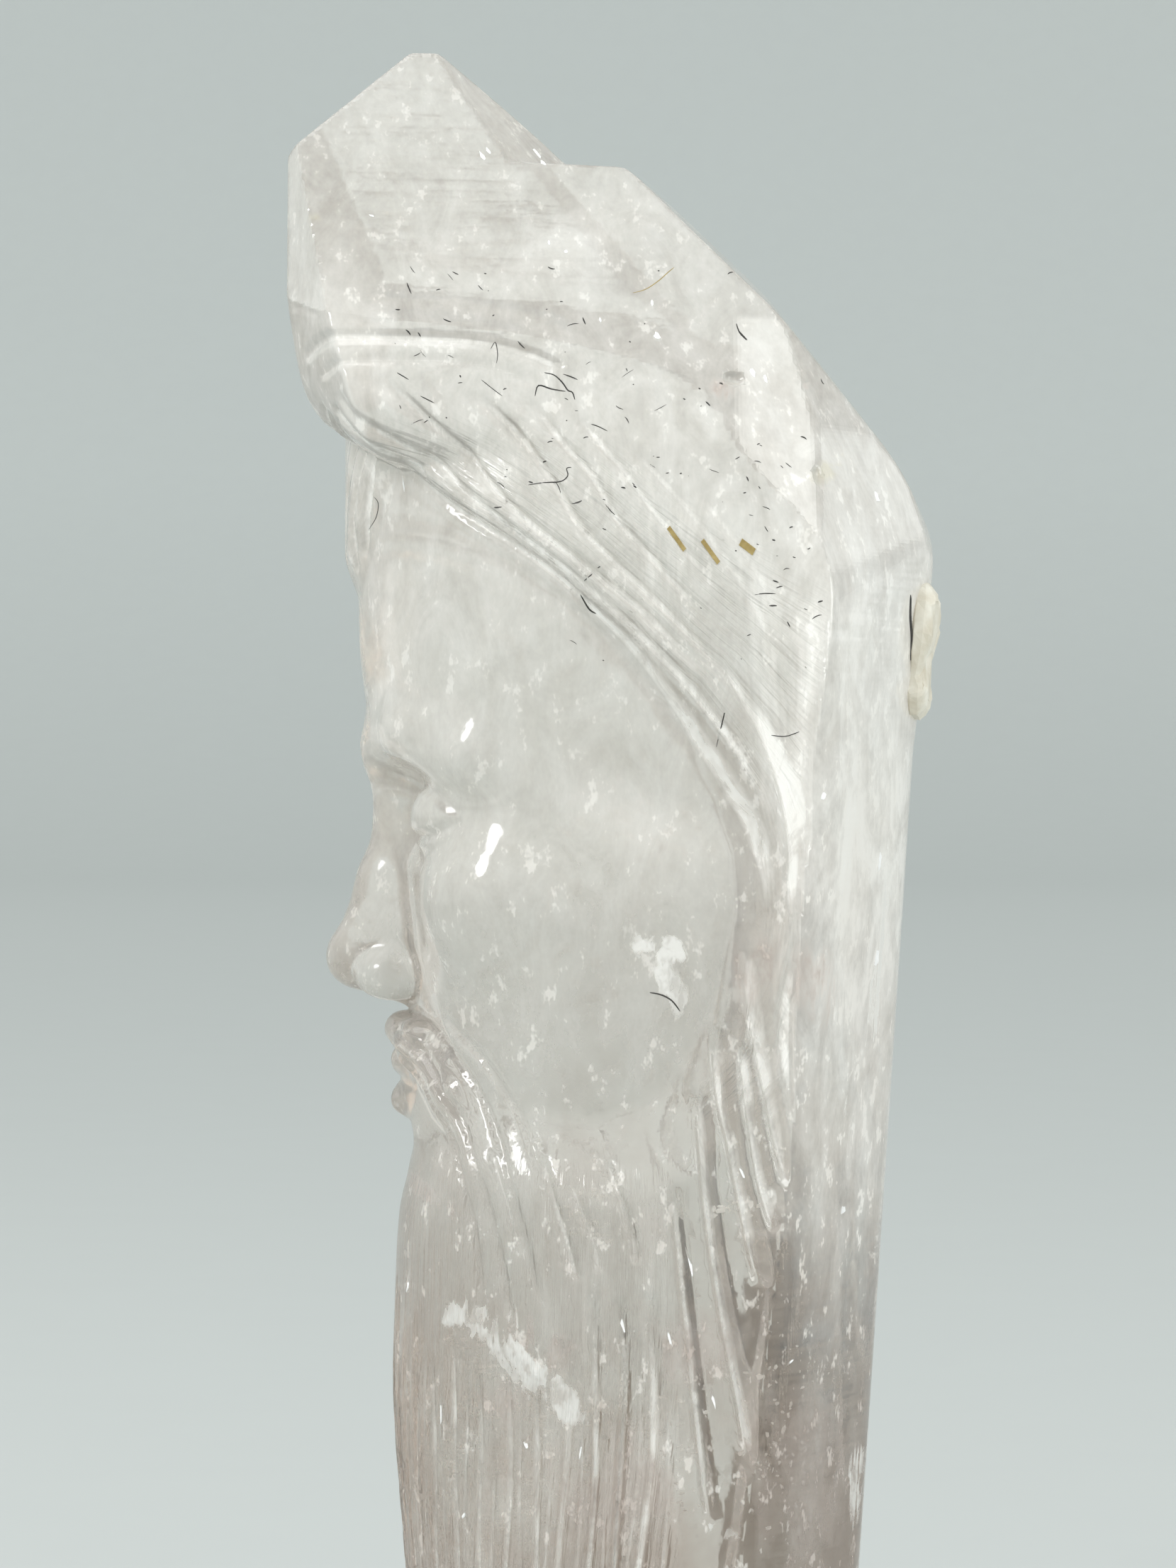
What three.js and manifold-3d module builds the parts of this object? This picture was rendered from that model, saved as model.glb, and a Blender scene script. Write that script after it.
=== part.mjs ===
// Carved clear quartz point, standing on its sawn base. Millimetres, +Z up, the carved face looking along -X.
// Two natural crystals grown together give the flat faces. A bearded head is carved into their front.
import * as THREE from "three";
import { mergeVertices } from "three/addons/utils/BufferGeometryUtils.js";
import Module from "manifold-3d";

const wasm = await Module();
wasm.setup();

// Driving sizes
const HEIGHT = 156;
const CARVING_AXIS_X = -3; // upright axis that the carved sections are drawn round
const ARC_RADIUS = 20; // places round the head are arc lengths at this radius, 0 at the middle of the front
const BOX_MIDDLE_X = -1.85; // middle of the finished stone's box in its drawing frame
const STONE = { color: 0xe2e0d8, roughness: 0.35, metalness: 0 };

// Natural faces: azimuth of the outward normal from +X and its elevation in degrees, then a point on the face
const POINT_FACES = [
  [180, 0, -29.6, 0, 142],
  [-152, 3, -29.6, -6, 142],
  [150, 2, -29.6, 5, 142],
  [180, 47.5, -28.5, 0, 147.4],
  [-84, 27, -19, -1.6, 155.6],
  [86, 33, -19, 1.8, 155.6],
  [-38, 38, -16.8, -1.5, 155.2],
  [40, 42, -16.4, 1.5, 155.2],
  [0, 50.7, -15.5, 0, 154.6],
  [-90, 84, -18.4, 1.4, HEIGHT],
  [-90, 9, 0, -18.6, 118],
  [90, 8, 0, 18.8, 118],
  [-90, -1.6, 0, -18.9, 112],
  [91, -1.8, 0, 19.1, 112],
  [0, 0, 6.5, 0, 60],
  [0, -90, 0, 0, 0],
];
const SHOULDER_FACES = [
  [180, 0, -14, 0, 100],
  [0, 88, -3, 0, 145.6],
  [6, 58, -1.8, 0, 145.6],
  [-14, 46, 2.4, -2, 143],
  [10, 45, 9.2, 0, 136.3],
  [-8, 38, 13.8, 0, 131.6],
  [0, 31, 20.6, 0, 122.9],
  [-10, 17, 23.8, 0, 118],
  [-84, 27, -9.7, -5.83, 145.4],
  [86, 30, -9.7, 6.4, 145.4],
  [-88, 14, 6, -18, 121.5],
  [-69.6, 25.6, 7.4, -11.4, 131.1],
  [-33.5, 15.8, 14.7, -13.9, 120.9],
  [-33.4, 24, 15, -12.2, 123.2],
  [52, 26, 14, 11, 130],
  [-90, 5, 10, -19.4, 116],
  [90, 6, 10, 19.3, 114],
  [-90, -1.7, 0, -19.6, 110],
  [88, -1.6, 0, 19.6, 112],
  [-28, -3.2, 25.2, -1, 112],
  [31, -3.8, 25.2, 1.5, 112],
  [0, -3.6, 25.2, 0, 111],
  [-57, -3.7, 15.9, -19.1, 113],
  [60, -3.5, 15.4, 18.4, 112],
  [0, -90, 0, 0, 0],
];

// Sections of the carving: height, then the x of the front line or the half width across
const SKIN_FRONT = [
  [0, -18.8], [26, -20.4], [46, -20.4], [54, -20.2], [60, -19], [66, -19.6], [75, -19],
  [84, -19.4], [91, -20.6], [97, -22.6], [106, -23.8], [114, -23.9], [124, -23],
];
const SKIN_HALF = [[0, 15], [30, 15.4], [55, 15], [70, 15.8], [84, 16.4], [92, 15.6], [104, 16], [118, 15.6]];
const HAIR_FRONT = [
  [0, -18.2], [26, -19.8], [43, -20.9], [54, -20.6], [60, -20.2], [70, -21.5], [100, -24],
  [113, -25], [124, -25], [138, -25.4],
];
const HAIR_HALF = [
  [0, 15.2], [26, 16.4], [50, 17.2], [70, 17.8], [90, 18.3], [112, 18], [120, 16.8], [130, 12], [138, 9],
];
const SECTION_POWER = 2.15; // 2 would be an ellipse, more is squarer
const BACK_REACH = 60; // the carved section runs off behind the stone
const BACK_EDGE = [[20, 41], [62, 46]]; // height, and the place round the head where the carving ends
const BACK_FLARE = 0.55; // how fast its section opens out behind that
const HEAD_SIDE = { ahead: 21, across: 17, behind: 17.5 }; // reach of the head from the axis
// Upper edge of the carving by the place round the head, and how the carving sinks under it
const CAP_EDGE = [
  [0, 136.4], [3.6, 134.6], [14, 131.4], [22.7, 130.2], [32, 128.8], [40, 127], [42.3, 125.7], [44, 121],
  [46.5, 116], [48.5, 112.3], [56, 104],
];
const CAP_INSET = { slope: 0.17, depth: 1.5, over: 10, power: 6, above: 1.3 };

// Smooth curve through rows of height and value, which never swings past them
function profile(rows, height) {
  const steps = rows.slice(1).map(([z, value], i) => (value - rows[i][1]) / (z - rows[i][0]));
  const slopes = rows.map((_, i) => {
    if (i === 0) return steps[0];
    if (i === rows.length - 1) return steps[i - 1];
    const product = steps[i - 1] * steps[i];
    return product > 0 ? (2 * product) / (steps[i - 1] + steps[i]) : 0;
  });
  const z = THREE.MathUtils.clamp(height, rows[0][0], rows.at(-1)[0]);
  const i = Math.max(0, rows.findLastIndex((row, j) => j < rows.length - 1 && row[0] <= z));
  const gap = rows[i + 1][0] - rows[i][0];
  const t = (z - rows[i][0]) / gap;
  return (
    rows[i][1] * (1 + 2 * t) * (1 - t) ** 2 +
    slopes[i] * gap * t * (1 - t) ** 2 +
    rows[i + 1][1] * t * t * (3 - 2 * t) +
    slopes[i + 1] * gap * t * t * (t - 1)
  );
}

// Distance of the carved section from the axis, at an angle from the front
function sectionRadius(front, half, z, angle) {
  const ahead = Math.cos(angle) > 0 ? CARVING_AXIS_X - profile(front, z) : BACK_REACH;
  const across = profile(half, z);
  const along = (Math.abs(Math.cos(angle)) / ahead) ** SECTION_POWER;
  const sideways = (Math.sin(angle) / across) ** SECTION_POWER;
  return (along + sideways) ** (-1 / SECTION_POWER);
}

// Place round the head, as an arc length, of a place x on its side
function roundAt(x) {
  const behind = x - CARVING_AXIS_X;
  const curved = HEAD_SIDE.across * Math.sqrt(1 - (behind / HEAD_SIDE.ahead) ** 2);
  const beside = behind < 0 ? curved : HEAD_SIDE.behind;
  return ARC_RADIUS * Math.atan2(beside, -behind);
}

// Points of x and height on the side of the head, as places round it and heights
const onSide = (points) => points.map(([x, z]) => [roundAt(x), z]);

// Outline of the bare skin: places round the head and heights. A lock falls over the middle of the forehead.
const FACE_OUTLINE = [
  [-10, 110],
  [0, 110],
  [4, 111.2],
  [7, 115],
  ...onSide([
    [-20.6, 120.8], [-15.7, 116.2], [-10.8, 112.9], [-6.8, 109.8], [-1.6, 105], [3, 100.3], [5.6, 96.6],
    [8, 92.4], [9.3, 88], [9.5, 83], [8.6, 77], [7, 71.6], [4.4, 67.4], [1, 64.8], [-3, 63.6], [-8, 64.2],
    [-14.5, 65.6], [-18.5, 63.6], [-21, 61.8],
  ]),
  [-10, 61.8],
];
// How soft that outline is, by height
const SKIN_EDGE = [[60, 5], [68, 4.6], [76, 3], [88, 1.5], [106, 1.1], [111, 2.8], [116, 2.4], [121, 1.1]];

// Cuts between the strands: points, then the half width and depth of each cut. They fan out from the parting.
const HAIR_CUTS = [
  {
    points: onSide([[-20.9, 121.4], [-15.7, 116.4], [-10.8, 113.2], [-6.8, 110.4], [-1.4, 105.6], [3, 100.7],
      [5.6, 97], [7.6, 94], [9.4, 90.6], [10.6, 86.4], [10.7, 81]]),
    width: 1,
    depth: 0.95,
  },
  {
    points: onSide([[-19.2, 125.6], [-17, 121], [-14.2, 117.6], [-10.4, 114.4], [-6, 110.9], [-0.6, 106.2],
      [4, 101.4], [7.4, 96.8], [10.4, 91.6]]),
    width: 0.95,
    depth: 0.75,
  },
  {
    points: onSide([[-13.2, 125.4], [-9.9, 121.7], [-7, 117.9], [-4.8, 114.4], [-1.6, 111], [3, 106.6],
      [7.2, 102]]),
    width: 0.95,
    depth: 0.7,
  },
  { points: onSide([[-5.4, 123.6], [-1.6, 119.4], [1.6, 115], [6, 109.6]]), width: 0.9, depth: 0.4 },
  { points: onSide([[8.2, 101], [11, 96.4], [13.2, 91], [14.6, 85.6], [15.2, 80]]), width: 1.2, depth: 0.65 },
  // Parting, and the lock over the forehead
  { points: onSide([[-20.3, 124.6], [-19.4, 122.6], [-17.2, 118.8]]), width: 0.9, depth: 0.5 },
  { points: [[0, 126.4], [0, 120], [0, 112.4]], width: 0.9, depth: 0.75 },
  { points: [[9.2, 124.4], [7, 121], [5, 116.6], [3.6, 111.2]], width: 0.9, depth: 0.65 },
  // Edge of the cap's smooth band
  {
    points: [[7, 129], [11, 130.1], [18, 129.9], [23, 128.8], [27, 127.4]],
    width: 1,
    depth: 0.6,
  },
  // Locks behind the cheek
  { points: onSide([[9.6, 80], [9.9, 74.6], [10.7, 69], [11.8, 64.3], [13, 60.4]]), width: 0.9, depth: 0.8 },
  {
    points: onSide([[7.4, 73.6], [7.2, 68], [7.9, 63.2], [9.2, 57.6], [10.4, 52.6]]),
    width: 0.9,
    depth: 0.9,
  },
  { points: onSide([[12.6, 79], [12, 73.6], [12.8, 68], [13.9, 63.6]]), width: 0.9, depth: 0.65 },
  {
    points: onSide([[5.6, 68], [5.4, 62.6], [6.2, 56], [7.4, 49.6], [9.1, 42.3], [10, 37]]),
    width: 0.95,
    depth: 0.85,
  },
  { points: onSide([[2.7, 60.7], [4.1, 49.6], [5.2, 41.2], [6.3, 33.4]]), width: 0.9, depth: 0.75 },
  // Upper beard
  { points: onSide([[-8.2, 62.9], [-6.2, 56.8], [-5.2, 53]]), width: 0.8, depth: 0.5 },
  { points: onSide([[-2.8, 62.6], [-1.2, 58.4], [-0.2, 54.4]]), width: 0.8, depth: 0.45 },
];
const MOUSTACHE_CUTS = [
  { points: [[3, 73.2], [9, 71.4], [15, 67], [19.2, 61], [21.3, 55], [22.4, 49.6]], width: 0.7, depth: 0.5 },
  {
    points: [[4, 74.4], [10.4, 73], [16.8, 69], [21.4, 62.8], [23.8, 56.6], [25.2, 51]],
    width: 0.7,
    depth: 0.5,
  },
];
// A cut's section, sharp along its line, and the share of its length over which each end runs out
const CUT_SECTION = { power: 1.25, ends: 0.14, endPower: 0.6 };

// Beard: upright cuts that wave a little, by their place round the chin and the height where each begins
const BEARD_TOPS = [
  [0, 50], [2.5, 48], [5, 51], [7.6, 47.5], [10.2, 50], [12.9, 46.5], [15.8, 49], [18.8, 45.5],
  [21.9, 47], [24.8, 45], [27.6, 48], [30.3, 52], [33, 51.5], [35.6, 52],
];
const BEARD_FOOT = -2;
const BEARD_STEPS = 8;
const BEARD_WAVES = [{ height: 1.1, turn: 0.115, shift: 0.6 }, { height: 0.45, turn: 0.23, shift: 0 }];
const BEARD_LEAN = 4.5;
const BEARD_GATHER = 0.08; // the strands draw together towards the foot
const BEARD_STILL = 9; // cuts nearer the middle than this wave less

function beardPlace(index, t) {
  const [start, top] = BEARD_TOPS[index];
  const z = THREE.MathUtils.lerp(top, BEARD_FOOT, t);
  const [shared, own] = BEARD_WAVES;
  const wave =
    shared.height * Math.sin(shared.turn * z + 0.05 * start + shared.shift) +
    own.height * Math.sin(own.turn * z + 2.3 * index + own.shift);
  const free = Math.min(1, start / BEARD_STILL);
  const lean = BEARD_LEAN * (start / BEARD_TOPS.at(-1)[0]) * t * (1 - t);
  return [start * (1 - BEARD_GATHER * t) + wave * free * Math.sqrt(t) + lean, z];
}

const BEARD_CUTS = BEARD_TOPS.map((_, index) => ({
  points: Array.from({ length: BEARD_STEPS + 1 }, (_, j) => beardPlace(index, j / BEARD_STEPS)),
  width: 1 + 0.1 * ((index * 3) % 4),
  depth: 0.55 + 0.1125 * ((index * 7) % 5),
}));

// Smooth larger and smaller of two distances, blended over a width
function blendMax(a, b, width) {
  const near = Math.max(width - Math.abs(a - b), 0) / width;
  return Math.max(a, b) + near * near * width * 0.25;
}
const blendMin = (a, b, width) => -blendMax(-a, -b, width);

// Forms of the face: each gives the distance of a point from it, negative inside
function ball([cx, cy, cz], [rx, ry, rz]) {
  return ({ x, y, z }) => {
    const [u, v, w] = [(x - cx) / rx, (y - cy) / ry, (z - cz) / rz];
    const reach = Math.hypot(u, v, w);
    return (reach * (reach - 1)) / Math.max(Math.hypot(u / rx, v / ry, w / rz), 1e-6);
  };
}
function limb(joints, blend = 0.8) {
  const links = joints.slice(1).map(([x, y, z, radius], i) => ({
    line: new THREE.Line3(new THREE.Vector3(...joints[i].slice(0, 3)), new THREE.Vector3(x, y, z)),
    from: joints[i][3],
    to: radius,
  }));
  const nearest = new THREE.Vector3();
  return (p) =>
    links.reduce((distance, { line, from, to }) => {
      const t = line.closestPointToPointParameter(p, true);
      const gap = line.at(t, nearest).distanceTo(p) - THREE.MathUtils.lerp(from, to, t);
      return distance === null ? gap : blendMin(distance, gap, blend);
    }, null);
}

// Closed eye: a ball under its lid, cut along the lashes and over the lid
const EYE = { x: -14.5, y: 7.3, z: 90.6, radius: 4.7, halfWidth: 4.7, cutWidth: 0.9 };
const LASHES = { bow: -1.2, height: -0.4, depth: 0.55 };
const LID_FOLD = { bow: 2.2, height: 0.5, depth: 0.36 };
function closedEye({ x, y, z }) {
  const [u, v, w] = [x - EYE.x, y - EYE.y, z - EYE.z];
  const across = 0.93 * v + 0.36 * u;
  const arch = 1 - (across / EYE.halfWidth) ** 2;
  const notch = ({ bow, height, depth }) =>
    depth * Math.max(0, 1 - Math.abs(w - bow * arch - height) / EYE.cutWidth);
  const cut = arch > -0.1 ? notch(LASHES) + notch(LID_FOLD) : 0;
  return Math.hypot(u, 0.93 * v, 1.06 * w) - EYE.radius + cut;
}

const raise = (blend, form) => (distance, p) => blendMin(distance, form(p), blend);
const sink = (blend, form) => (distance, p) => blendMax(distance, -form(p), blend);

// One half of the face, repeated on the other side of the middle plane
const FEATURES = [
  raise(3.5, limb([[-21, 1.5, 96.2, 1.9], [-18.9, 8, 97.6, 2], [-14.2, 12.4, 95.8, 1.7]])), // brow
  raise(4.5, ball([-12.2, 10.6, 83.5], [5.2, 4.6, 5])), // cheekbone
  sink(4, ball([-4, 18.8, 95], [8, 2.6, 9])), // temple
  sink(2.6, ball([-21, 7, 91.2], [4.6, 5.2, 3.8])), // eye socket
  raise(1, closedEye),
  raise(
    2.4,
    limb([[-19.8, 0, 96.5, 2.6], [-20, 0, 91, 2.2], [-21.3, 0, 85, 2.5], [-22.6, 0, 79.6, 3.2]], 1.5),
  ), // nose
  raise(2, ball([-19.6, 0, 80], [4.6, 3.9, 5.2])),
  raise(1.4, ball([-24, 0, 78.6], [2.6, 2.5, 2.5])),
  raise(1, ball([-20.9, 3.2, 77.3], [3.1, 1.9, 2.2])), // nose wing
  sink(1.6, limb([[-20, 5.3, 78.8, 0.55], [-16.8, 9.6, 71.5, 0.4]])), // crease of the cheek
  raise(1, limb([[-19.6, 0, 69.9, 1.5], [-18.2, 4.4, 68.9, 0.9]])), // lips
  raise(1, limb([[-19.4, 0, 66.5, 1.7], [-17.8, 4, 67.4, 1]])),
  sink(0.5, limb([[-22, 0, 68.1, 0.5], [-19.6, 4.9, 68.1, 0.4]])),
  sink(1.6, ball([-21.4, 0, 63.4], [1.9, 4.2, 1.3])), // hollow over the chin
  raise(
    0.9,
    limb(
      [[-20.2, 1, 72.6, 1.4], [-18.4, 5.4, 71.4, 1.9], [-15.4, 9.6, 67.4, 1.9], [-12.6, 12.6, 62, 1.4],
        [-10.6, 13.8, 56.5, 0.8]],
      1.2,
    ),
  ), // moustache
];

// Natural faces as unit normals and offsets, for distances
function planes(faces) {
  return faces.map(([azimuth, elevation, x, y, z]) => {
    const [a, e] = [azimuth, elevation].map(THREE.MathUtils.degToRad);
    const normal = new THREE.Vector3(Math.cos(e) * Math.cos(a), Math.cos(e) * Math.sin(a), Math.sin(e));
    return new THREE.Plane().setFromNormalAndCoplanarPoint(normal, new THREE.Vector3(x, y, z));
  });
}
const POINT_PLANES = planes(POINT_FACES);
const SHOULDER_PLANES = planes(SHOULDER_FACES);

function distanceFromNaturalFaces(p) {
  const outermost = (list) => Math.max(...list.map((plane) => plane.distanceToPoint(p)));
  return Math.min(outermost(POINT_PLANES), outermost(SHOULDER_PLANES));
}

// Distance of a place from the outline of the skin, negative inside
function distanceFromFace(s, z) {
  let nearest = Infinity;
  let inside = false;
  FACE_OUTLINE.forEach(([ax, az], i) => {
    const [bx, bz] = FACE_OUTLINE[(i + 1) % FACE_OUTLINE.length];
    const [ex, ez] = [bx - ax, bz - az];
    const t = THREE.MathUtils.clamp(((s - ax) * ex + (z - az) * ez) / (ex * ex + ez * ez), 0, 1);
    nearest = Math.min(nearest, Math.hypot(s - ax - t * ex, z - az - t * ez));
    if (az > z !== bz > z && s < ax + ((z - az) * ex) / ez) inside = !inside;
  });
  return inside ? -nearest : nearest;
}

// Cuts as fine polylines
function drawn(cuts) {
  return cuts.map(({ points, width, depth }) => ({
    line: new THREE.SplineCurve(points.map(([s, z]) => new THREE.Vector2(s, z))).getPoints(points.length * 5),
    width,
    depth,
  }));
}

// Depth of the deepest cut at a place: sharp along its line, running out at its ends
function cutDepth(lines, s, z) {
  let deepest = 0;
  for (const { line, width, depth } of lines) {
    let nearest = Infinity;
    let where = 0;
    for (let i = 0; i + 1 < line.length; i += 1) {
      const [a, b] = [line[i], line[i + 1]];
      const [ex, ez] = [b.x - a.x, b.y - a.y];
      const t = THREE.MathUtils.clamp(((s - a.x) * ex + (z - a.y) * ez) / (ex * ex + ez * ez), 0, 1);
      const gap = Math.hypot(s - a.x - t * ex, z - a.y - t * ez);
      if (gap < nearest) {
        nearest = gap;
        where = (i + t) / (line.length - 1);
      }
    }
    const ends = Math.min(1, Math.min(where, 1 - where) / CUT_SECTION.ends) ** CUT_SECTION.endPower;
    const section = Math.max(0, 1 - nearest / width) ** CUT_SECTION.power;
    deepest = Math.max(deepest, depth * ends * section);
  }
  return deepest;
}
const STRAND_LINES = drawn([...HAIR_CUTS, ...BEARD_CUTS]);
const MOUSTACHE_LINES = drawn(MOUSTACHE_CUTS);

// Distance of the carved surface from the axis, along a level line at a place round the head
const OUTSIDE_RADIUS = 38;
const MARCH_STEP = 0.6;
const HALVINGS = 12;
function carvedRadius(s, z, side) {
  const angle = s / ARC_RADIUS;
  const soft = profile(SKIN_EDGE, z);
  const hair = THREE.MathUtils.smoothstep(distanceFromFace(s, z), -0.5 * soft, soft);
  const skinRadius = sectionRadius(SKIN_FRONT, SKIN_HALF, z, angle);
  const hairRadius = sectionRadius(HAIR_FRONT, HAIR_HALF, z, angle);
  const flare = BACK_FLARE * Math.max(0, s - profile(BACK_EDGE, z));
  const plain = THREE.MathUtils.lerp(skinRadius, hairRadius, hair) + flare;
  const strands = cutDepth(STRAND_LINES, s, z);
  const moustache = cutDepth(MOUSTACHE_LINES, s, z);
  const below = profile(CAP_EDGE, s) - z;
  const sunk = CAP_INSET.slope * below + CAP_INSET.depth * (below / CAP_INSET.over) ** CAP_INSET.power;
  const inset = below > 0 ? sunk : CAP_INSET.above * below;
  const near = new THREE.Vector3();
  const outside = (radius) => {
    near.set(CARVING_AXIS_X - radius * Math.cos(angle), side * radius * Math.sin(angle), z);
    const shaped = blendMin(radius - plain, distanceFromNaturalFaces(near) + inset, 1) + strands;
    near.y = Math.abs(near.y);
    return FEATURES.reduce((distance, form) => form(distance, near), shaped) + moustache;
  };
  let high = OUTSIDE_RADIUS;
  while (outside(high - MARCH_STEP) > 0 && high > MARCH_STEP * 2) high -= MARCH_STEP;
  let low = high - MARCH_STEP;
  for (let i = 0; i < HALVINGS; i += 1) {
    const middle = (low + high) / 2;
    if (outside(middle) > 0) high = middle;
    else low = middle;
  }
  return high;
}
// Columns of the carving's mesh on one side: in each cut of the beard, between the cuts, and on to the back
const BACK_PLACES = [37.6, 39.4, 41.2, 43.2, 45.6, 48.5, 55];
const LAST_CUT = 36.4;
function columnPlaces(z) {
  const cuts = BEARD_TOPS.map(([start, top], index) => {
    const t = THREE.MathUtils.clamp((top - z) / (top - BEARD_FOOT), 0, 1);
    return t > 0 ? beardPlace(index, t)[0] : start;
  });
  const between = cuts.slice(1).map((place, i) => (place + cuts[i]) / 2);
  const front = cuts.flatMap((place, i) => (i < between.length ? [place, between[i]] : [place]));
  const last = Math.max(...front);
  return [...front, ...BACK_PLACES.map((place) => Math.max(place, last + (place - LAST_CUT) * 0.6))];
}

// Highest row that is carved, over the front of the cap
const TOP_CARVED = 142;

// Height of the hairline by the place round the head
const HAIRLINE = [
  [0, 121], [9.2, 120.8], [16.3, 116.2], [22.2, 112.9], [26.9, 109.8], [33, 105], [38, 100.3], [40.6, 96.6],
  [42.6, 92.4], [46, 88],
];

// Rows of the mesh, by their height at the front. They sink towards the back, so one lies along the hairline.
const ROW_SINK = [[62, 0], [121, 1], [138, 0.6], [HEIGHT + 6, 0]];
const ROW_ZONES = [
  [-1, 56, 4.4], [56, 62, 1.5], [62, 121, 1.4], [121, 127, 1.5], [127, TOP_CARVED, 2.5],
];
const TOP_ROW = HEIGHT + 6;

function rowHeights() {
  const rows = ROW_ZONES.flatMap(([from, to, step]) => {
    const count = Math.round((to - from) / step);
    return Array.from({ length: count }, (_, i) => from + ((to - from) * i) / count);
  });
  return [...rows, TOP_CARVED, TOP_ROW];
}

function heightAt(row, s) {
  const after = ROW_SINK.findIndex(([height]) => height >= row);
  if (after < 1) return row;
  const [[low, from], [high, to]] = ROW_SINK.slice(after - 1, after + 1);
  const share = THREE.MathUtils.mapLinear(row, low, high, from, to);
  return row - share * (HAIRLINE[0][1] - profile(HAIRLINE, s));
}

// The carving as a closed envelope: rows of places right round, with a lid on each end
function carvingEnvelope() {
  const positions = [];
  const rows = rowHeights();
  for (const row of rows) {
    const right = columnPlaces(row);
    const ring = [
      ...right.map((s) => [s, -1]),
      [Math.PI * ARC_RADIUS, -1],
      ...right.slice(1).reverse().map((s) => [s, 1]),
    ];
    for (const [s, side] of ring) {
      const z = heightAt(row, s);
      const radius = carvedRadius(s, Math.min(z, TOP_CARVED), side);
      const angle = s / ARC_RADIUS;
      positions.push(CARVING_AXIS_X - radius * Math.cos(angle), side * radius * Math.sin(angle), z);
    }
  }
  const around = positions.length / 3 / rows.length;
  const corner = (row, column) => row * around + (column % around);
  const place = (i) => new THREE.Vector3().fromArray(positions, i * 3);
  const triangles = [];
  for (let row = 0; row + 1 < rows.length; row += 1) {
    for (let column = 0; column < around; column += 1) {
      const a = corner(row, column);
      const b = corner(row, column + 1);
      const c = corner(row + 1, column + 1);
      const d = corner(row + 1, column);
      if (place(a).distanceTo(place(c)) < place(b).distanceTo(place(d))) triangles.push(a, b, c, a, c, d);
      else triangles.push(a, b, d, b, c, d);
    }
  }
  const foot = positions.length / 3;
  positions.push(CARVING_AXIS_X, 0, rows[0], CARVING_AXIS_X, 0, rows.at(-1));
  for (let column = 0; column < around; column += 1) {
    triangles.push(foot, corner(0, column + 1), corner(0, column));
    triangles.push(foot + 1, corner(rows.length - 1, column), corner(rows.length - 1, column + 1));
  }
  const geometry = new THREE.BufferGeometry();
  geometry.setAttribute("position", new THREE.Float32BufferAttribute(positions, 3));
  geometry.setIndex(triangles);
  return geometry;
}

// A closed geometry as a solid that can be joined and cut, and back again
function solidFrom(geometry) {
  geometry.deleteAttribute("normal");
  geometry.deleteAttribute("uv");
  const merged = mergeVertices(geometry, 1e-4);
  return new wasm.Manifold(
    new wasm.Mesh({
      numProp: 3,
      vertProperties: merged.attributes.position.array,
      triVerts: new Uint32Array(merged.index.array),
    }),
  );
}
function geometryFrom(solid) {
  const mesh = solid.getMesh();
  const geometry = new THREE.BufferGeometry();
  geometry.setAttribute("position", new THREE.Float32BufferAttribute(mesh.vertProperties, 3));
  geometry.setIndex([...mesh.triVerts]);
  geometry.computeVertexNormals();
  return geometry;
}

// A crystal: a block cut off at each natural face
const BLOCK = 420;
function crystal(faces) {
  const block = new THREE.BoxGeometry(BLOCK, BLOCK, BLOCK);
  return faces.reduce((body, [azimuth, elevation, x, y, z]) => {
    const beyond = new THREE.BoxGeometry(2 * BLOCK, 2 * BLOCK, 2 * BLOCK)
      .translate(BLOCK, 0, 0)
      .rotateY(-THREE.MathUtils.degToRad(elevation))
      .rotateZ(THREE.MathUtils.degToRad(azimuth))
      .translate(x, y, z);
    return body.subtract(solidFrom(beyond));
  }, solidFrom(block));
}

// Natural pits and chips: centre, then the half sizes of each
const CHIPS = [
  { at: [7.9, -13.9, 127], size: [1.2, 1.1, 0.8] }, // pit in the shoulder
  { at: [-20.4, -1.2, 156.2], size: [1.3, 1.6, 0.8] }, // chipped tip
  { at: [24.9, -1.4, 97.4], size: [0.8, 1.9, 1.7] }, // chips down the back edge
  { at: [23.4, -0.8, 74], size: [0.6, 1.4, 2.2] },
  { at: [20.6, -0.6, 31], size: [0.7, 1.6, 2.6] },
  { at: [15.0, -15.0, 119], size: [0.9, 0.7, 1.5] },
];
function chip({ at, size }) {
  return solidFrom(new THREE.IcosahedronGeometry(1, 1).scale(...size).translate(...at));
}

// Flake of pale crust left on the back edge: outline across the face and up it
const CRUST_OUTLINE = [
  [-2.2, 99.7], [0.2, 99.3], [1.3, 100.8], [1.2, 103.4], [1.9, 106.8], [1.2, 109.5], [-0.6, 110.3],
  [-2.1, 109.3], [-2.9, 106.2], [-2.5, 102.8], [-3, 101],
];
const CRUST = { x: 23.6, y: -1.3, z: 105, thickness: 1.5, bevel: 0.35, azimuth: -14, lean: -3.5 };
function crust() {
  const corners = CRUST_OUTLINE.map(([across, up]) => new THREE.Vector2(across, up - CRUST.z));
  const outline = new THREE.Shape(corners);
  const slab = new THREE.ExtrudeGeometry(outline, {
    depth: CRUST.thickness,
    bevelThickness: CRUST.bevel,
    bevelSize: CRUST.bevel,
    bevelSegments: 1,
  });
  return solidFrom(
    slab
      .rotateX(Math.PI / 2)
      .rotateZ(Math.PI / 2)
      .rotateY(-THREE.MathUtils.degToRad(CRUST.lean))
      .rotateZ(THREE.MathUtils.degToRad(CRUST.azimuth))
      .translate(CRUST.x, CRUST.y, CRUST.z),
  );
}

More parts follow.
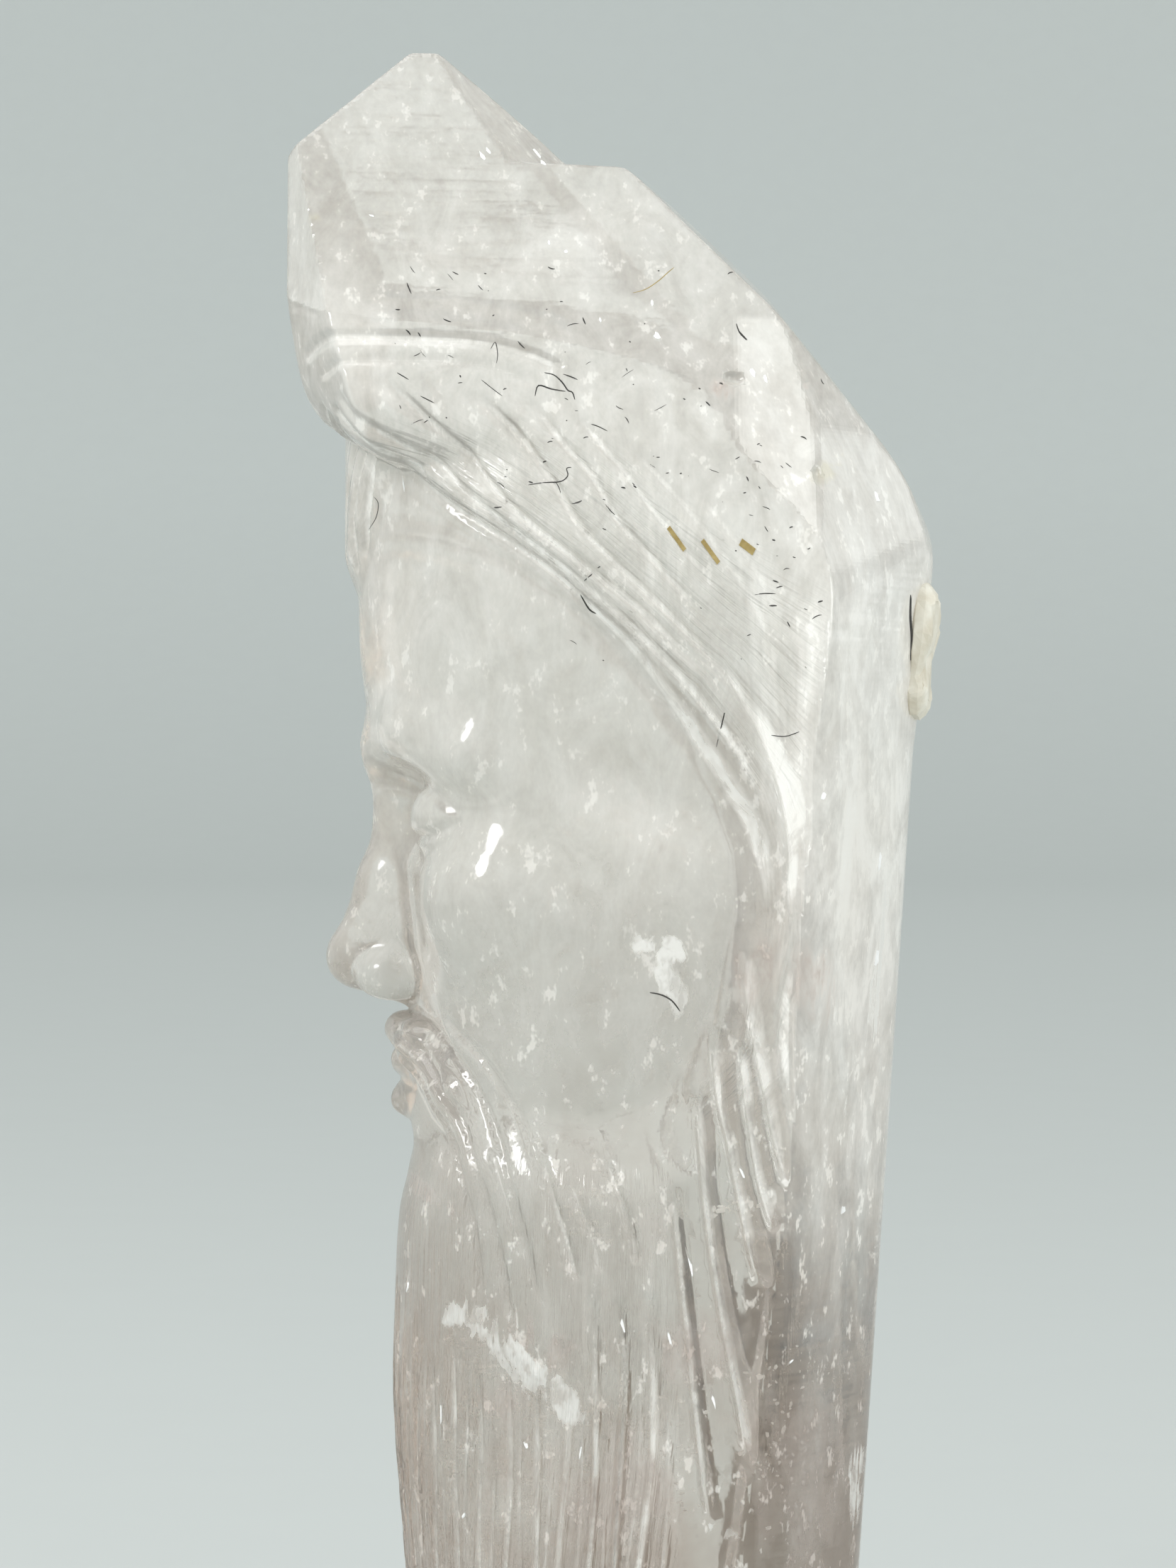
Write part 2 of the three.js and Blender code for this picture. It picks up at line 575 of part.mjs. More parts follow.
const rough = crystal(POINT_FACES).add(crystal(SHOULDER_FACES));
const carved = rough.intersect(solidFrom(carvingEnvelope()));
const chipped = CHIPS.reduce((body, each) => body.subtract(chip(each)), carved);
const stone = new THREE.Mesh(geometryFrom(chipped.add(crust())), new THREE.MeshStandardMaterial(STONE));
stone.name = "quartz_wand";
stone.position.x = -BOX_MIDDLE_X;

const group = new THREE.Group();
group.add(stone);

export default group;
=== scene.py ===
import math

import bpy
import numpy as np
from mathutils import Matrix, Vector


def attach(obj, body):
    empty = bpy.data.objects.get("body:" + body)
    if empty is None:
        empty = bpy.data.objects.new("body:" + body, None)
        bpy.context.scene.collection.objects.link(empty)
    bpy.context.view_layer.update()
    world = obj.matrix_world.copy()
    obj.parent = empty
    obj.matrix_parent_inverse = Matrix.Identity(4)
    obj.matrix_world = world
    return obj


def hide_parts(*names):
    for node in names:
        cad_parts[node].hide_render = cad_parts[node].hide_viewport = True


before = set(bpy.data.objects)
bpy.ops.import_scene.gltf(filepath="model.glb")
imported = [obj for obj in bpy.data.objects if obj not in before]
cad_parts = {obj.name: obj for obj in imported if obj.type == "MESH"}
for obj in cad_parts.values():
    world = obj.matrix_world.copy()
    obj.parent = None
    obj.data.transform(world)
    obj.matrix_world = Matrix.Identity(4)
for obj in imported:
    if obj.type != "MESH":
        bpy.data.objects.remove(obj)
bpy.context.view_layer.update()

# A carved clear quartz point on a pale floor. The stone is drawn in millimetres, then scaled to metres and
# set in the model's frame. The carved face looks along -X, the camera along +Y.
MM = 0.001
HEIGHT = 156.0
BOX_MIDDLE_X = -1.85
CARVING_AXIS_X = -3.0
ARC_RADIUS = 20.0

MESH_STEP = 0.33
TRIANGLES = 190000
STONE_BOX = ((-32, -22, -2), (28, 22, 158))
# How far the natural edges are rounded, by height: worn beside the head, crisp on the natural point
EDGE_ROUNDING = [(96, 0.9), (114, 0.12)]

# Natural faces: azimuth of the outward normal from +X and its elevation in degrees, then a point on the face
POINT_FACES = [
    (180, 0, -29.6, 0, 142),
    (-152, 3, -29.6, -6, 142),
    (150, 2, -29.6, 5, 142),
    (180, 47.5, -28.5, 0, 147.4),
    (-84, 27, -19, -1.6, 155.6),
    (86, 33, -19, 1.8, 155.6),
    (-38, 38, -16.8, -1.5, 155.2),
    (40, 42, -16.4, 1.5, 155.2),
    (0, 50.7, -15.5, 0, 154.6),
    (-90, 84, -18.4, 1.4, HEIGHT),
    (-90, 9, 0, -18.6, 118),
    (90, 8, 0, 18.8, 118),
    (-90, -1.6, 0, -18.9, 112),
    (91, -1.8, 0, 19.1, 112),
    (0, 0, 6.5, 0, 60),
    (0, -90, 0, 0, 0),
]
SHOULDER_FACES = [
    (180, 0, -14, 0, 100),
    (0, 88, -3, 0, 145.6),
    (6, 58, -1.8, 0, 145.6),
    (-14, 46, 2.4, -2, 143),
    (10, 45, 9.2, 0, 136.3),
    (-8, 38, 13.8, 0, 131.6),
    (0, 31, 20.6, 0, 122.9),
    (-10, 17, 23.8, 0, 118),
    (-84, 27, -9.7, -5.83, 145.4),
    (86, 30, -9.7, 6.4, 145.4),
    (-88, 14, 6, -18, 121.5),
    (-69.6, 25.6, 7.4, -11.4, 131.1),
    (-33.5, 15.8, 14.7, -13.9, 120.9),
    (-33.4, 24, 15, -12.2, 123.2),
    (52, 26, 14, 11, 130),
    (-90, 5, 10, -19.4, 116),
    (90, 6, 10, 19.3, 114),
    (-90, -1.7, 0, -19.6, 110),
    (88, -1.6, 0, 19.6, 112),
    (-28, -3.2, 25.2, -1, 112),
    (31, -3.8, 25.2, 1.5, 112),
    (0, -3.6, 25.2, 0, 111),
    (-57, -3.7, 15.9, -19.1, 113),
    (60, -3.5, 15.4, 18.4, 112),
    (0, -90, 0, 0, 0),
]

# Sections of the carving: height, then the x of the front line or the half width across
SKIN_FRONT = [
    (0, -18.8), (26, -20.4), (46, -20.4), (54, -20.2), (60, -19), (66, -19.6), (75, -19),
    (84, -19.4), (91, -20.6), (97, -22.6), (106, -23.8), (114, -23.9), (124, -23),
]
SKIN_HALF = [(0, 15), (30, 15.4), (55, 15), (70, 15.8), (84, 16.4), (92, 15.6), (104, 16), (118, 15.6)]
HAIR_FRONT = [
    (0, -18.2), (26, -19.8), (43, -20.9), (54, -20.6), (60, -20.2), (70, -21.5), (100, -24),
    (113, -25), (124, -25), (138, -25.4),
]
HAIR_HALF = [
    (0, 15.2), (26, 16.4), (50, 17.2), (70, 17.8), (90, 18.3), (112, 18), (120, 16.8), (130, 12), (138, 9),
]
SECTION_POWER = 2.15
BACK_REACH = 60.0
BACK_EDGE = [(20, 41), (62, 46)]
BACK_FLARE = 0.55
HEAD_SIDE = {"ahead": 21.0, "across": 17.0, "behind": 17.5}

# Upper edge of the carving by the place round the head, and how the carving sinks under it
CAP_EDGE = [
    (0, 136.4), (3.6, 134.6), (14, 131.4), (22.7, 130.2), (32, 128.8), (40, 127), (42.3, 125.7), (44, 121),
    (46.5, 116), (48.5, 112.3), (56, 104),
]
CAP_INSET = {"slope": 0.17, "depth": 1.5, "over": 10, "power": 6, "above": 1.3}


def profile(rows, at):
    """Smooth curve through rows of position and value, which never swings past them."""
    places = np.array([row[0] for row in rows], float)
    values = np.array([row[1] for row in rows], float)
    gaps = np.diff(places)
    steps = np.diff(values) / gaps
    slopes = np.empty_like(values)
    slopes[0] = steps[0]
    slopes[-1] = steps[-1]
    products = steps[:-1] * steps[1:]
    sums = np.where(products > 0, steps[:-1] + steps[1:], 1.0)
    slopes[1:-1] = np.where(products > 0, 2 * products / sums, 0.0)
    at = np.clip(at, places[0], places[-1])
    i = np.clip(np.searchsorted(places, at) - 1, 0, len(gaps) - 1)
    t = (at - places[i]) / gaps[i]
    return (
        values[i] * (1 + 2 * t) * (1 - t) ** 2
        + slopes[i] * gaps[i] * t * (1 - t) ** 2
        + values[i + 1] * t * t * (3 - 2 * t)
        + slopes[i + 1] * gaps[i] * t * t * (t - 1)
    )


def smoothstep(low, high, value):
    t = np.clip((value - low) / (high - low), 0, 1)
    return t * t * (3 - 2 * t)


def blend_max(a, b, width):
    near = np.maximum(width - np.abs(a - b), 0) / width
    return np.maximum(a, b) + near * near * width * 0.25


def blend_min(a, b, width):
    return -blend_max(-a, -b, width)


def section_radius(front, half, z, angle):
    """Distance of the carved section from the axis, at an angle from the front."""
    ahead = np.where(np.cos(angle) > 0, CARVING_AXIS_X - profile(front, z), BACK_REACH)
    along = (np.abs(np.cos(angle)) / ahead) ** SECTION_POWER
    sideways = (np.sin(angle) / profile(half, z)) ** SECTION_POWER
    return (along + sideways) ** (-1 / SECTION_POWER)


def round_at(x):
    """Place round the head, as an arc length, of a place x on its side."""
    behind = x - CARVING_AXIS_X
    curved = HEAD_SIDE["across"] * math.sqrt(max(0.0, 1 - (behind / HEAD_SIDE["ahead"]) ** 2))
    beside = curved if behind < 0 else HEAD_SIDE["behind"]
    return ARC_RADIUS * math.atan2(beside, -behind)


def on_side(*points):
    return [(round_at(x), z) for x, z in points]


# Outline of the bare skin: places round the head and heights. A lock falls over the middle of the forehead.
FACE_OUTLINE = [
    (-10, 110),
    (0, 110),
    (4, 111.2),
    (7, 115),
    *on_side(
        (-20.6, 120.8), (-15.7, 116.2), (-10.8, 112.9), (-6.8, 109.8), (-1.6, 105), (3, 100.3),
        (5.6, 96.6), (8, 92.4), (9.3, 88), (9.5, 83), (8.6, 77), (7, 71.6), (4.4, 67.4), (1, 64.8),
        (-3, 63.6), (-8, 64.2), (-14.5, 65.6), (-18.5, 63.6), (-21, 61.8),
    ),
    (-10, 61.8),
]
# How soft that outline is by height
SKIN_EDGE = [(60, 5), (68, 4.6), (76, 3), (88, 1.5), (106, 1.1), (111, 2.8), (116, 2.4), (121, 1.1)]

# Cuts between the strands: points, then the half width and depth of each. They fan out from the parting.
HAIR_CUTS = [
    (on_side((-20.9, 121.4), (-15.7, 116.4), (-10.8, 113.2), (-6.8, 110.4), (-1.4, 105.6), (3, 100.7),
             (5.6, 97), (7.6, 94), (9.4, 90.6), (10.6, 86.4), (10.7, 81)), 0.85, 0.9),
    (on_side((-19.2, 125.6), (-17, 121), (-14.2, 117.6), (-10.4, 114.4), (-6, 110.9), (-0.6, 106.2),
             (4, 101.4), (7.4, 96.8), (10.4, 91.6)), 0.75, 0.7),
    (on_side((-17.4, 126.6), (-14.9, 122.2), (-12.6, 118.6), (-9.6, 115.4), (-5, 111.6), (0.2, 107.4),
             (4.8, 103)), 0.7, 0.7),
    (on_side((-13.2, 125.4), (-9.9, 121.7), (-7, 117.9), (-4.8, 114.4), (-1.6, 111), (3, 106.6),
             (7.2, 102)), 0.75, 0.65),
    (on_side((-9.4, 124.8), (-6.2, 121), (-3.9, 118.5), (-1.6, 114.6), (1.6, 111), (5.6, 106.4)), 0.7, 0.5),
    (on_side((-5.4, 123.6), (-1.6, 119.4), (1.6, 115), (6, 109.6)), 0.7, 0.35),
    (on_side((-0.6, 121), (3.8, 116), (8.4, 109.4), (11.2, 103.6)), 0.8, 0.3),
    (on_side((4.6, 117.6), (9, 111.4), (12.2, 105)), 0.8, 0.25),
    (on_side((6.4, 103.6), (9.4, 98.6), (11.4, 93.8), (12.4, 88.4), (12.2, 82.6)), 0.75, 0.6),
    (on_side((8.2, 101), (11, 96.4), (13.2, 91), (14.6, 85.6), (15.2, 80)), 1.0, 0.6),
    # Parting, and the lock over the forehead
    (on_side((-20.3, 124.6), (-19.4, 122.6), (-17.2, 118.8)), 0.8, 0.5),
    ([(0, 126.4), (0, 120), (0, 112.4)], 0.7, 0.7),
    ([(8.6, 125), (5.2, 121.6), (2.8, 117), (1.6, 112)], 0.6, 0.55),
    ([(9.2, 124.4), (7, 121), (5, 116.6), (3.6, 111.2)], 0.6, 0.65),
    ([(9.8, 124), (8.4, 121), (6.9, 117), (5.4, 112.6)], 0.6, 0.55),
    # Edge of the cap's smooth band
    ([(7, 129), (11, 130.1), (18, 129.9), (23, 128.8), (27, 127.4)], 0.9, 0.35),
    ([(9, 127.2), (13.6, 128.2), (19, 127.9), (24.5, 126.2)], 0.6, 0.18),
    # Locks behind the cheek
    (on_side((9.6, 80), (9.9, 74.6), (10.7, 69), (11.8, 64.3), (13, 60.4)), 0.8, 0.8),
    (on_side((7.4, 73.6), (7.2, 68), (7.9, 63.2), (9.2, 57.6), (10.4, 52.6)), 0.8, 0.9),
    (on_side((9, 72), (9.2, 67), (10, 62), (11.6, 57)), 0.6, 0.6),
    (on_side((12.6, 79), (12, 73.6), (12.8, 68), (13.9, 63.6)), 0.7, 0.6),
    (on_side((5.6, 68), (5.4, 62.6), (6.2, 56), (7.4, 49.6), (9.1, 42.3), (10, 37)), 0.8, 0.85),
    (on_side((11, 60.8), (12.4, 57.6), (13.4, 53.6)), 0.6, 0.5),
    (on_side((2.7, 60.7), (4.1, 49.6), (5.2, 41.2), (6.3, 33.4)), 0.7, 0.7),
    # Upper beard
    (on_side((-12.6, 63.4), (-11, 59.3), (-9.8, 55)), 0.4, 0.3),
    (on_side((-8.2, 62.9), (-6.2, 56.8), (-5.2, 53)), 0.5, 0.45),
    (on_side((-5.9, 61.4), (-4, 56.5), (-3.4, 53.6)), 0.35, 0.3),
    (on_side((-2.8, 62.6), (-1.2, 58.4), (-0.2, 54.4)), 0.5, 0.4),
]
MOUSTACHE_CUTS = [
    ([(3, 73.2), (9, 71.4), (15, 67), (19.2, 61), (21.3, 55), (22.4, 49.6)], 0.55, 0.45),
    ([(2.8, 71.9), (8.6, 69.7), (13.8, 65.6), (17.4, 60), (19, 54.4), (19.6, 49)], 0.55, 0.45),
    ([(4, 74.4), (10.4, 73), (16.8, 69), (21.4, 62.8), (23.8, 56.6), (25.2, 51)], 0.55, 0.45),
    ([(12, 74.4), (18.6, 70.6), (23.4, 65), (26, 59.4), (27.4, 54)], 0.55, 0.3),
]

# Beard: upright cuts that wave a little, by their place round the chin and the height where each begins
BEARD_TOPS = [
    (0, 50), (2.5, 48), (5, 51), (7.6, 47.5), (10.2, 50), (12.9, 46.5), (15.8, 49), (18.8, 45.5),
    (21.9, 47), (24.8, 45), (27.6, 48), (30.3, 52), (33, 51.5), (35.6, 52),
]
# Finer cuts of the beard, only in this script
FINE_BEARD_TOPS = [
    (1.3, 47), (3.8, 52), (6.2, 46), (8.8, 49), (9.5, 40), (11.4, 51), (14.2, 44), (17.4, 47),
    (20.2, 41), (23.2, 46.5), (26.1, 40), (29, 46), (31.6, 43), (34.4, 49), (37.2, 47),
]
FINE_CUT = {"width": 0.5, "depth": 0.36}
BEARD_FOOT = -2.0
BEARD_STEPS = 8
# Swing, turn by height and start of the wave that the strands share, and of each cut's own
BEARD_WAVES = ((1.1, 0.115, 0.6), (0.45, 0.23, 0.0))
WAVE_ROUND = 0.05  # how the shared wave's start changes round the chin
WAVE_BY_CUT = 2.3
BEARD_LEAN = 4.5
BEARD_GATHER = 0.08  # the strands draw together towards the foot
BEARD_STILL = 9.0  # cuts nearer the middle than this wave less

# Here the cuts are narrower and a little shallower than in the drawing
CUT_FINENESS = 0.72
CUT_SHALLOWNESS = 0.88
NARROWEST_CUT = 0.42
CUT_SECTION = {"power": 1.25, "ends": 0.14, "end_power": 0.6, "softness": 0.2}
# Painted highlight: the white in the cuts stands for the light their walls catch
LINE_BASE = 0.4  # how white the shallowest cut is
MOUSTACHE_WHITE = 0.6


def beard_line(index, start, top):
    """Points of one upright line that waves with the strands."""
    points = []
    for j in range(BEARD_STEPS + 1):
        t = j / BEARD_STEPS
        z = top + (BEARD_FOOT - top) * t
        (shared, turn, shift), (own, own_turn, own_shift) = BEARD_WAVES
        wave = shared * math.sin(turn * z + WAVE_ROUND * start + shift)
        wave += own * math.sin(own_turn * z + WAVE_BY_CUT * index + own_shift)
        free = min(1.0, start / BEARD_STILL)
        lean = BEARD_LEAN * (start / BEARD_TOPS[-1][0]) * t * (1 - t)
        points.append((start * (1 - BEARD_GATHER * t) + wave * free * math.sqrt(t) + lean, z))
    return points


def beard_cuts():
    """All the beard's cuts; the main ones differ in width and depth."""
    main = [(beard_line(index, start, top), 0.75 + 0.1 * ((index * 3) % 4), 0.5 + 0.1 * ((index * 7) % 5))
            for index, (start, top) in enumerate(BEARD_TOPS)]
    fine = [(beard_line(index, start, top), FINE_CUT["width"], FINE_CUT["depth"])
            for index, (start, top) in enumerate(FINE_BEARD_TOPS)]
    return main + fine


def spline(points, pieces=6):
    """Smooth polyline through the points."""
    p = np.array([points[0], *points, points[-1]], float)
    t = np.linspace(0, 1, pieces, endpoint=False)[:, None]
    spans = []
    for a, b, c, d in zip(p[:-3], p[1:-2], p[2:-1], p[3:]):
        bend = 2 * a - 5 * b + 4 * c - d
        twist = 3 * b - a - 3 * c + d
        spans.append(0.5 * (2 * b + (c - a) * t + bend * t * t + twist * t**3))
    return np.vstack([*spans, p[-2:-1]])


def cut_depth(cuts, s, z):
    """Depth of the deepest cut at each place, sharp along its line and running out at its ends, and how near
    the place is to the middle of a cut."""
    deepest = np.zeros(s.shape)
    middle = np.zeros(s.shape)
    for points, drawn_width, drawn_depth in cuts:
        width = max(drawn_width * CUT_FINENESS, NARROWEST_CUT)
        depth = drawn_depth * CUT_SHALLOWNESS
        line = spline(points)
        low = line.min(axis=0) - width
        high = line.max(axis=0) + width
        near = (s > low[0]) & (s < high[0]) & (z > low[1]) & (z < high[1])
        place = np.stack([s[near], z[near]], axis=-1)
        nearest = np.full(len(place), np.inf)
        where = np.zeros(len(place))
        for i in range(len(line) - 1):
            span = line[i + 1] - line[i]
            t = np.clip((place - line[i]) @ span / (span @ span), 0, 1)
            gap = np.linalg.norm(place - line[i] - t[:, None] * span, axis=1)
            closer = gap < nearest
            nearest[closer] = gap[closer]
            where[closer] = (i + t[closer]) / (len(line) - 1)
        ends = np.minimum(1, np.minimum(where, 1 - where) / CUT_SECTION["ends"]) ** CUT_SECTION["end_power"]
        softened = np.hypot(nearest, CUT_SECTION["softness"]) - CUT_SECTION["softness"]
        shape = np.clip(1 - softened / width, 0, 1) ** CUT_SECTION["power"]
        deepest[near] = np.maximum(deepest[near], depth * ends * shape)
        middle[near] = np.maximum(middle[near], min(1, LINE_BASE + drawn_depth) * ends * shape)
    return deepest, middle


def outline_distance(points, s, z):
    """Distance of each place from an outline, negative inside."""
    nearest = np.full(s.shape, np.inf)
    inside = np.zeros(s.shape, bool)
    for (ax, az), (bx, bz) in zip(points, points[1:] + points[:1]):
        ex = bx - ax
        ez = bz - az
        t = np.clip(((s - ax) * ex + (z - az) * ez) / (ex * ex + ez * ez), 0, 1)
        nearest = np.minimum(nearest, np.hypot(s - ax - t * ex, z - az - t * ez))
        if az != bz:
            inside ^= ((az > z) != (bz > z)) & (s < ax + (z - az) * ex / ez)
    return np.where(inside, -nearest, nearest)


class Relief:
    """What the carving does at each place round the head and height, worked out once and then looked up."""

    PITCH = 0.2
    TOP = 162.0
    DEEPEST_INSET = 40.0

    def __init__(self):
        s = np.arange(0, math.pi * ARC_RADIUS + 2 * self.PITCH, self.PITCH)
        z = np.arange(BEARD_FOOT, self.TOP, self.PITCH)
        s, z = np.meshgrid(s, z, indexing="ij")
        angle = np.minimum(s / ARC_RADIUS, math.pi)
        from_face = outline_distance(FACE_OUTLINE, s, z)
        soft = profile(SKIN_EDGE, z)
        hair = smoothstep(-0.5 * soft, soft, from_face)
        skin_radius = section_radius(SKIN_FRONT, SKIN_HALF, z, angle)
        hair_radius = section_radius(HAIR_FRONT, HAIR_HALF, z, angle)
        flare = BACK_FLARE * np.maximum(0, s - profile(BACK_EDGE, z))
        below = profile(CAP_EDGE, s) - z
        steep = (below / CAP_INSET["over"]) ** CAP_INSET["power"]
        sunk = np.minimum(CAP_INSET["slope"] * below + CAP_INSET["depth"] * steep, self.DEEPEST_INSET)
        strands, strand_lines = cut_depth(HAIR_CUTS + beard_cuts(), s, z)
        moustache, moustache_lines = cut_depth(MOUSTACHE_CUTS, s, z)
        self.maps = {
            "from_face": from_face,
            "radius": skin_radius + (hair_radius - skin_radius) * hair + flare,
            "inset": np.where(below > 0, sunk, CAP_INSET["above"] * below),
            "strands": strands,
            "moustache": moustache,
            "lines": np.maximum(strand_lines, MOUSTACHE_WHITE * moustache_lines),
        }

    def at(self, name, s, z):
        grid = self.maps[name]
        u = np.clip(s / self.PITCH, 0, grid.shape[0] - 1.001)
        v = np.clip((z - BEARD_FOOT) / self.PITCH, 0, grid.shape[1] - 1.001)
        i = u.astype(int)
        j = v.astype(int)
        u = u - i
        v = v - j
        low = grid[i, j] * (1 - v) + grid[i, j + 1] * v
        high = grid[i + 1, j] * (1 - v) + grid[i + 1, j + 1] * v
        return low * (1 - u) + high * u


relief = Relief()


def crystal(faces):
    """Distance from a convex crystal, its edges slightly worn."""
    rows = np.array(faces, float)
    azimuth, elevation = np.radians(rows[:, 0]), np.radians(rows[:, 1])
    level = np.cos(elevation)
    normals = np.stack([level * np.cos(azimuth), level * np.sin(azimuth), np.sin(elevation)], axis=1)
    offsets = np.einsum("ij,ij->i", normals, rows[:, 2:])

    def distance(p):
        reach = p @ normals.T - offsets
        most = reach.max(axis=1)
        rounding = profile(EDGE_ROUNDING, p[:, 2])
        worn = np.exp((reach - most[:, None]) / rounding[:, None]).sum(axis=1)
        return most + rounding * np.log(worn)

    return distance


point_crystal = crystal(POINT_FACES)
shoulder_crystal = crystal(SHOULDER_FACES)


def natural(p):
    return np.minimum(point_crystal(p), shoulder_crystal(p))


# Forms of the face: each gives the distance of points from it, negative inside
def ball(centre, radii):
    centre = np.array(centre, float)
    radii = np.array(radii, float)

    def distance(p):
        q = (p - centre) / radii
        reach = np.linalg.norm(q, axis=1)
        return reach * (reach - 1) / np.maximum(np.linalg.norm(q / radii, axis=1), 1e-6)

    return distance


def limb(joints, blend=0.8):
    """Tapering rod through joints of x, y, z and radius."""
    joints = np.array(joints, float)

    def distance(p):
        whole = None
        for a, b in zip(joints[:-1], joints[1:]):
            span = b[:3] - a[:3]
            t = np.clip((p - a[:3]) @ span / (span @ span), 0, 1)
            gap = np.linalg.norm(p - a[:3] - t[:, None] * span, axis=1) - (a[3] + (b[3] - a[3]) * t)
            whole = gap if whole is None else blend_min(whole, gap, blend)
        return whole

    return distance


# Closed eye: a ball under its lid, cut along the lashes and over the lid
EYE = {"centre": (-14.5, 7.3, 90.6), "radius": 4.7, "half_width": 4.7, "cut_width": 0.7}
EYE_SQUEEZE = (1, 0.93, 1.06)
EYE_ACROSS = (0.36, 0.93)  # the way from corner to corner, in x and y
CORNER_END = -0.1
LASHES = {"bow": -1.2, "height": -0.4, "depth": 0.55}
LID_FOLD = {"bow": 2.2, "height": 0.5, "depth": 0.36}


def closed_eye(p):
    q = p - np.array(EYE["centre"])
    across = EYE_ACROSS[1] * q[:, 1] + EYE_ACROSS[0] * q[:, 0]
    arch = 1 - (across / EYE["half_width"]) ** 2
    cut = 0
    for line in (LASHES, LID_FOLD):
        gap = np.abs(q[:, 2] - line["bow"] * arch - line["height"])
        cut = cut + line["depth"] * np.clip(1 - gap / EYE["cut_width"], 0, 1)
    ball_distance = np.linalg.norm(q * np.array(EYE_SQUEEZE), axis=1) - EYE["radius"]
    return ball_distance + cut * (arch > CORNER_END)


# One half of the face, repeated on the other side: +1 raises or -1 sinks, how far it blends, and the form
FEATURES = [
    (1, 3.5, limb([(-21, 1.5, 96.2, 1.9), (-18.9, 8, 97.6, 2), (-14.2, 12.4, 95.8, 1.7)])),  # brow
    (1, 4.5, ball((-12.2, 10.6, 83.5), (5.2, 4.6, 5))),  # cheekbone
    (-1, 4.0, ball((-4, 18.8, 95), (8, 2.6, 9))),  # temple
    (-1, 2.6, ball((-21, 7, 91.2), (4.6, 5.2, 3.8))),  # eye socket
    (1, 1.0, closed_eye),
    (1, 2.4, limb([(-19.8, 0, 96.5, 2.6), (-20, 0, 91, 2.2), (-21.3, 0, 85, 2.5),
                   (-22.6, 0, 79.6, 3.2)], 1.5)),  # bridge of the nose
    (1, 2.0, ball((-19.6, 0, 80), (4.6, 3.9, 5.2))),
    (1, 1.4, ball((-24, 0, 78.6), (2.6, 2.5, 2.5))),
    (1, 1.0, ball((-20.9, 3.2, 77.3), (3.1, 1.9, 2.2))),  # nose wing
    (-1, 0.6, ball((-22.3, 1.9, 75.2), (1.6, 0.85, 1.1))),  # nostril
    (-1, 1.6, limb([(-20, 5.3, 78.8, 0.55), (-16.8, 9.6, 71.5, 0.4)])),  # crease of the cheek
    (1, 1.0, limb([(-19.6, 0, 69.9, 1.5), (-18.2, 4.4, 68.9, 0.9)])),  # lips
    (1, 1.0, limb([(-19.4, 0, 66.5, 1.7), (-17.8, 4, 67.4, 1)])),
    (-1, 0.5, limb([(-22, 0, 68.1, 0.5), (-19.6, 4.9, 68.1, 0.4)])),
    (-1, 1.6, ball((-21.4, 0, 63.4), (1.9, 4.2, 1.3))),  # hollow over the chin
    (1, 0.9, limb([(-20.2, 1, 72.6, 1.4), (-18.4, 5.4, 71.4, 1.9), (-15.4, 9.6, 67.4, 1.9),
                   (-12.6, 12.6, 62, 1.4), (-10.6, 13.8, 56.5, 0.8)], 1.2)),  # moustache
]
FEATURE_BOX = ((-40.0, 8.0), (46.0, 114.0))  # x and z between which the features lie

# Natural pits and chips: centre, then the half sizes of each
CHIPS = [
    ((7.9, -13.9, 127), (1.2, 1.1, 0.8)),  # pit in the shoulder
    ((-20.4, -1.2, 156.2), (1.3, 1.6, 0.8)),  # chipped tip
    ((24.9, -1.4, 97.4), (0.8, 1.9, 1.7)),  # chips down the back edge
    ((23.4, -0.8, 74), (0.6, 1.4, 2.2)),
    ((20.6, -0.6, 31), (0.7, 1.6, 2.6)),
    ((15.0, -15.0, 119), (0.9, 0.7, 1.5)),
]


def unroll(p):
    """Height, distance from the carving's axis and place round the head."""
    x = p[:, 0] - CARVING_AXIS_X
    y = np.abs(p[:, 1])
    return p[:, 2], np.hypot(x, y), ARC_RADIUS * np.arctan2(y, -x)


def stone(p):
    """Distance of points from the finished stone's surface, negative inside."""
    z, reach, s = unroll(p)
    raw = natural(p)
    carved = blend_min(reach - relief.at("radius", s, z), raw + relief.at("inset", s, z), 1.0)
    carved = carved + relief.at("strands", s, z)
    (x_low, x_high), (z_low, z_high) = FEATURE_BOX
    face = np.flatnonzero((p[:, 0] > x_low) & (p[:, 0] < x_high) & (z > z_low) & (z < z_high))
    if len(face):
        half = p[face].copy()
        half[:, 1] = np.abs(half[:, 1])
        shaped = carved[face]
        for sign, blend, form in FEATURES:
            distance = form(half)
            shaped = blend_min(shaped, distance, blend) if sign > 0 else blend_max(shaped, -distance, blend)
        carved[face] = shaped + relief.at("moustache", s[face], z[face])
    whole = blend_max(raw, carved, 0.3)
    for centre, radii in CHIPS:
        near = np.flatnonzero(np.abs(p - np.array(centre)).max(axis=1) < 4)
        if len(near):
            whole[near] = np.maximum(whole[near], -ball(centre, radii)(p[near]))
    return whole


# Meshing: one point in each cell that the surface crosses, placed where the surface's tangent planes meet,
# so the crystal's edges stay crisp
CHUNK = 300000  # points worked out at a time
BLOCK = 6  # cells along a block of the coarse search
BLOCK_REACH = 1.4
SLOPE_STEP = 0.02
PULL = 0.02  # how strongly a point is drawn to the middle of its crossings
CORNERS = [(dx, dy, dz) for dx in (0, 1) for dy in (0, 1) for dz in (0, 1)]


def evaluate(field, points):
    return np.concatenate([field(points[i:i + CHUNK]) for i in range(0, len(points), CHUNK)])


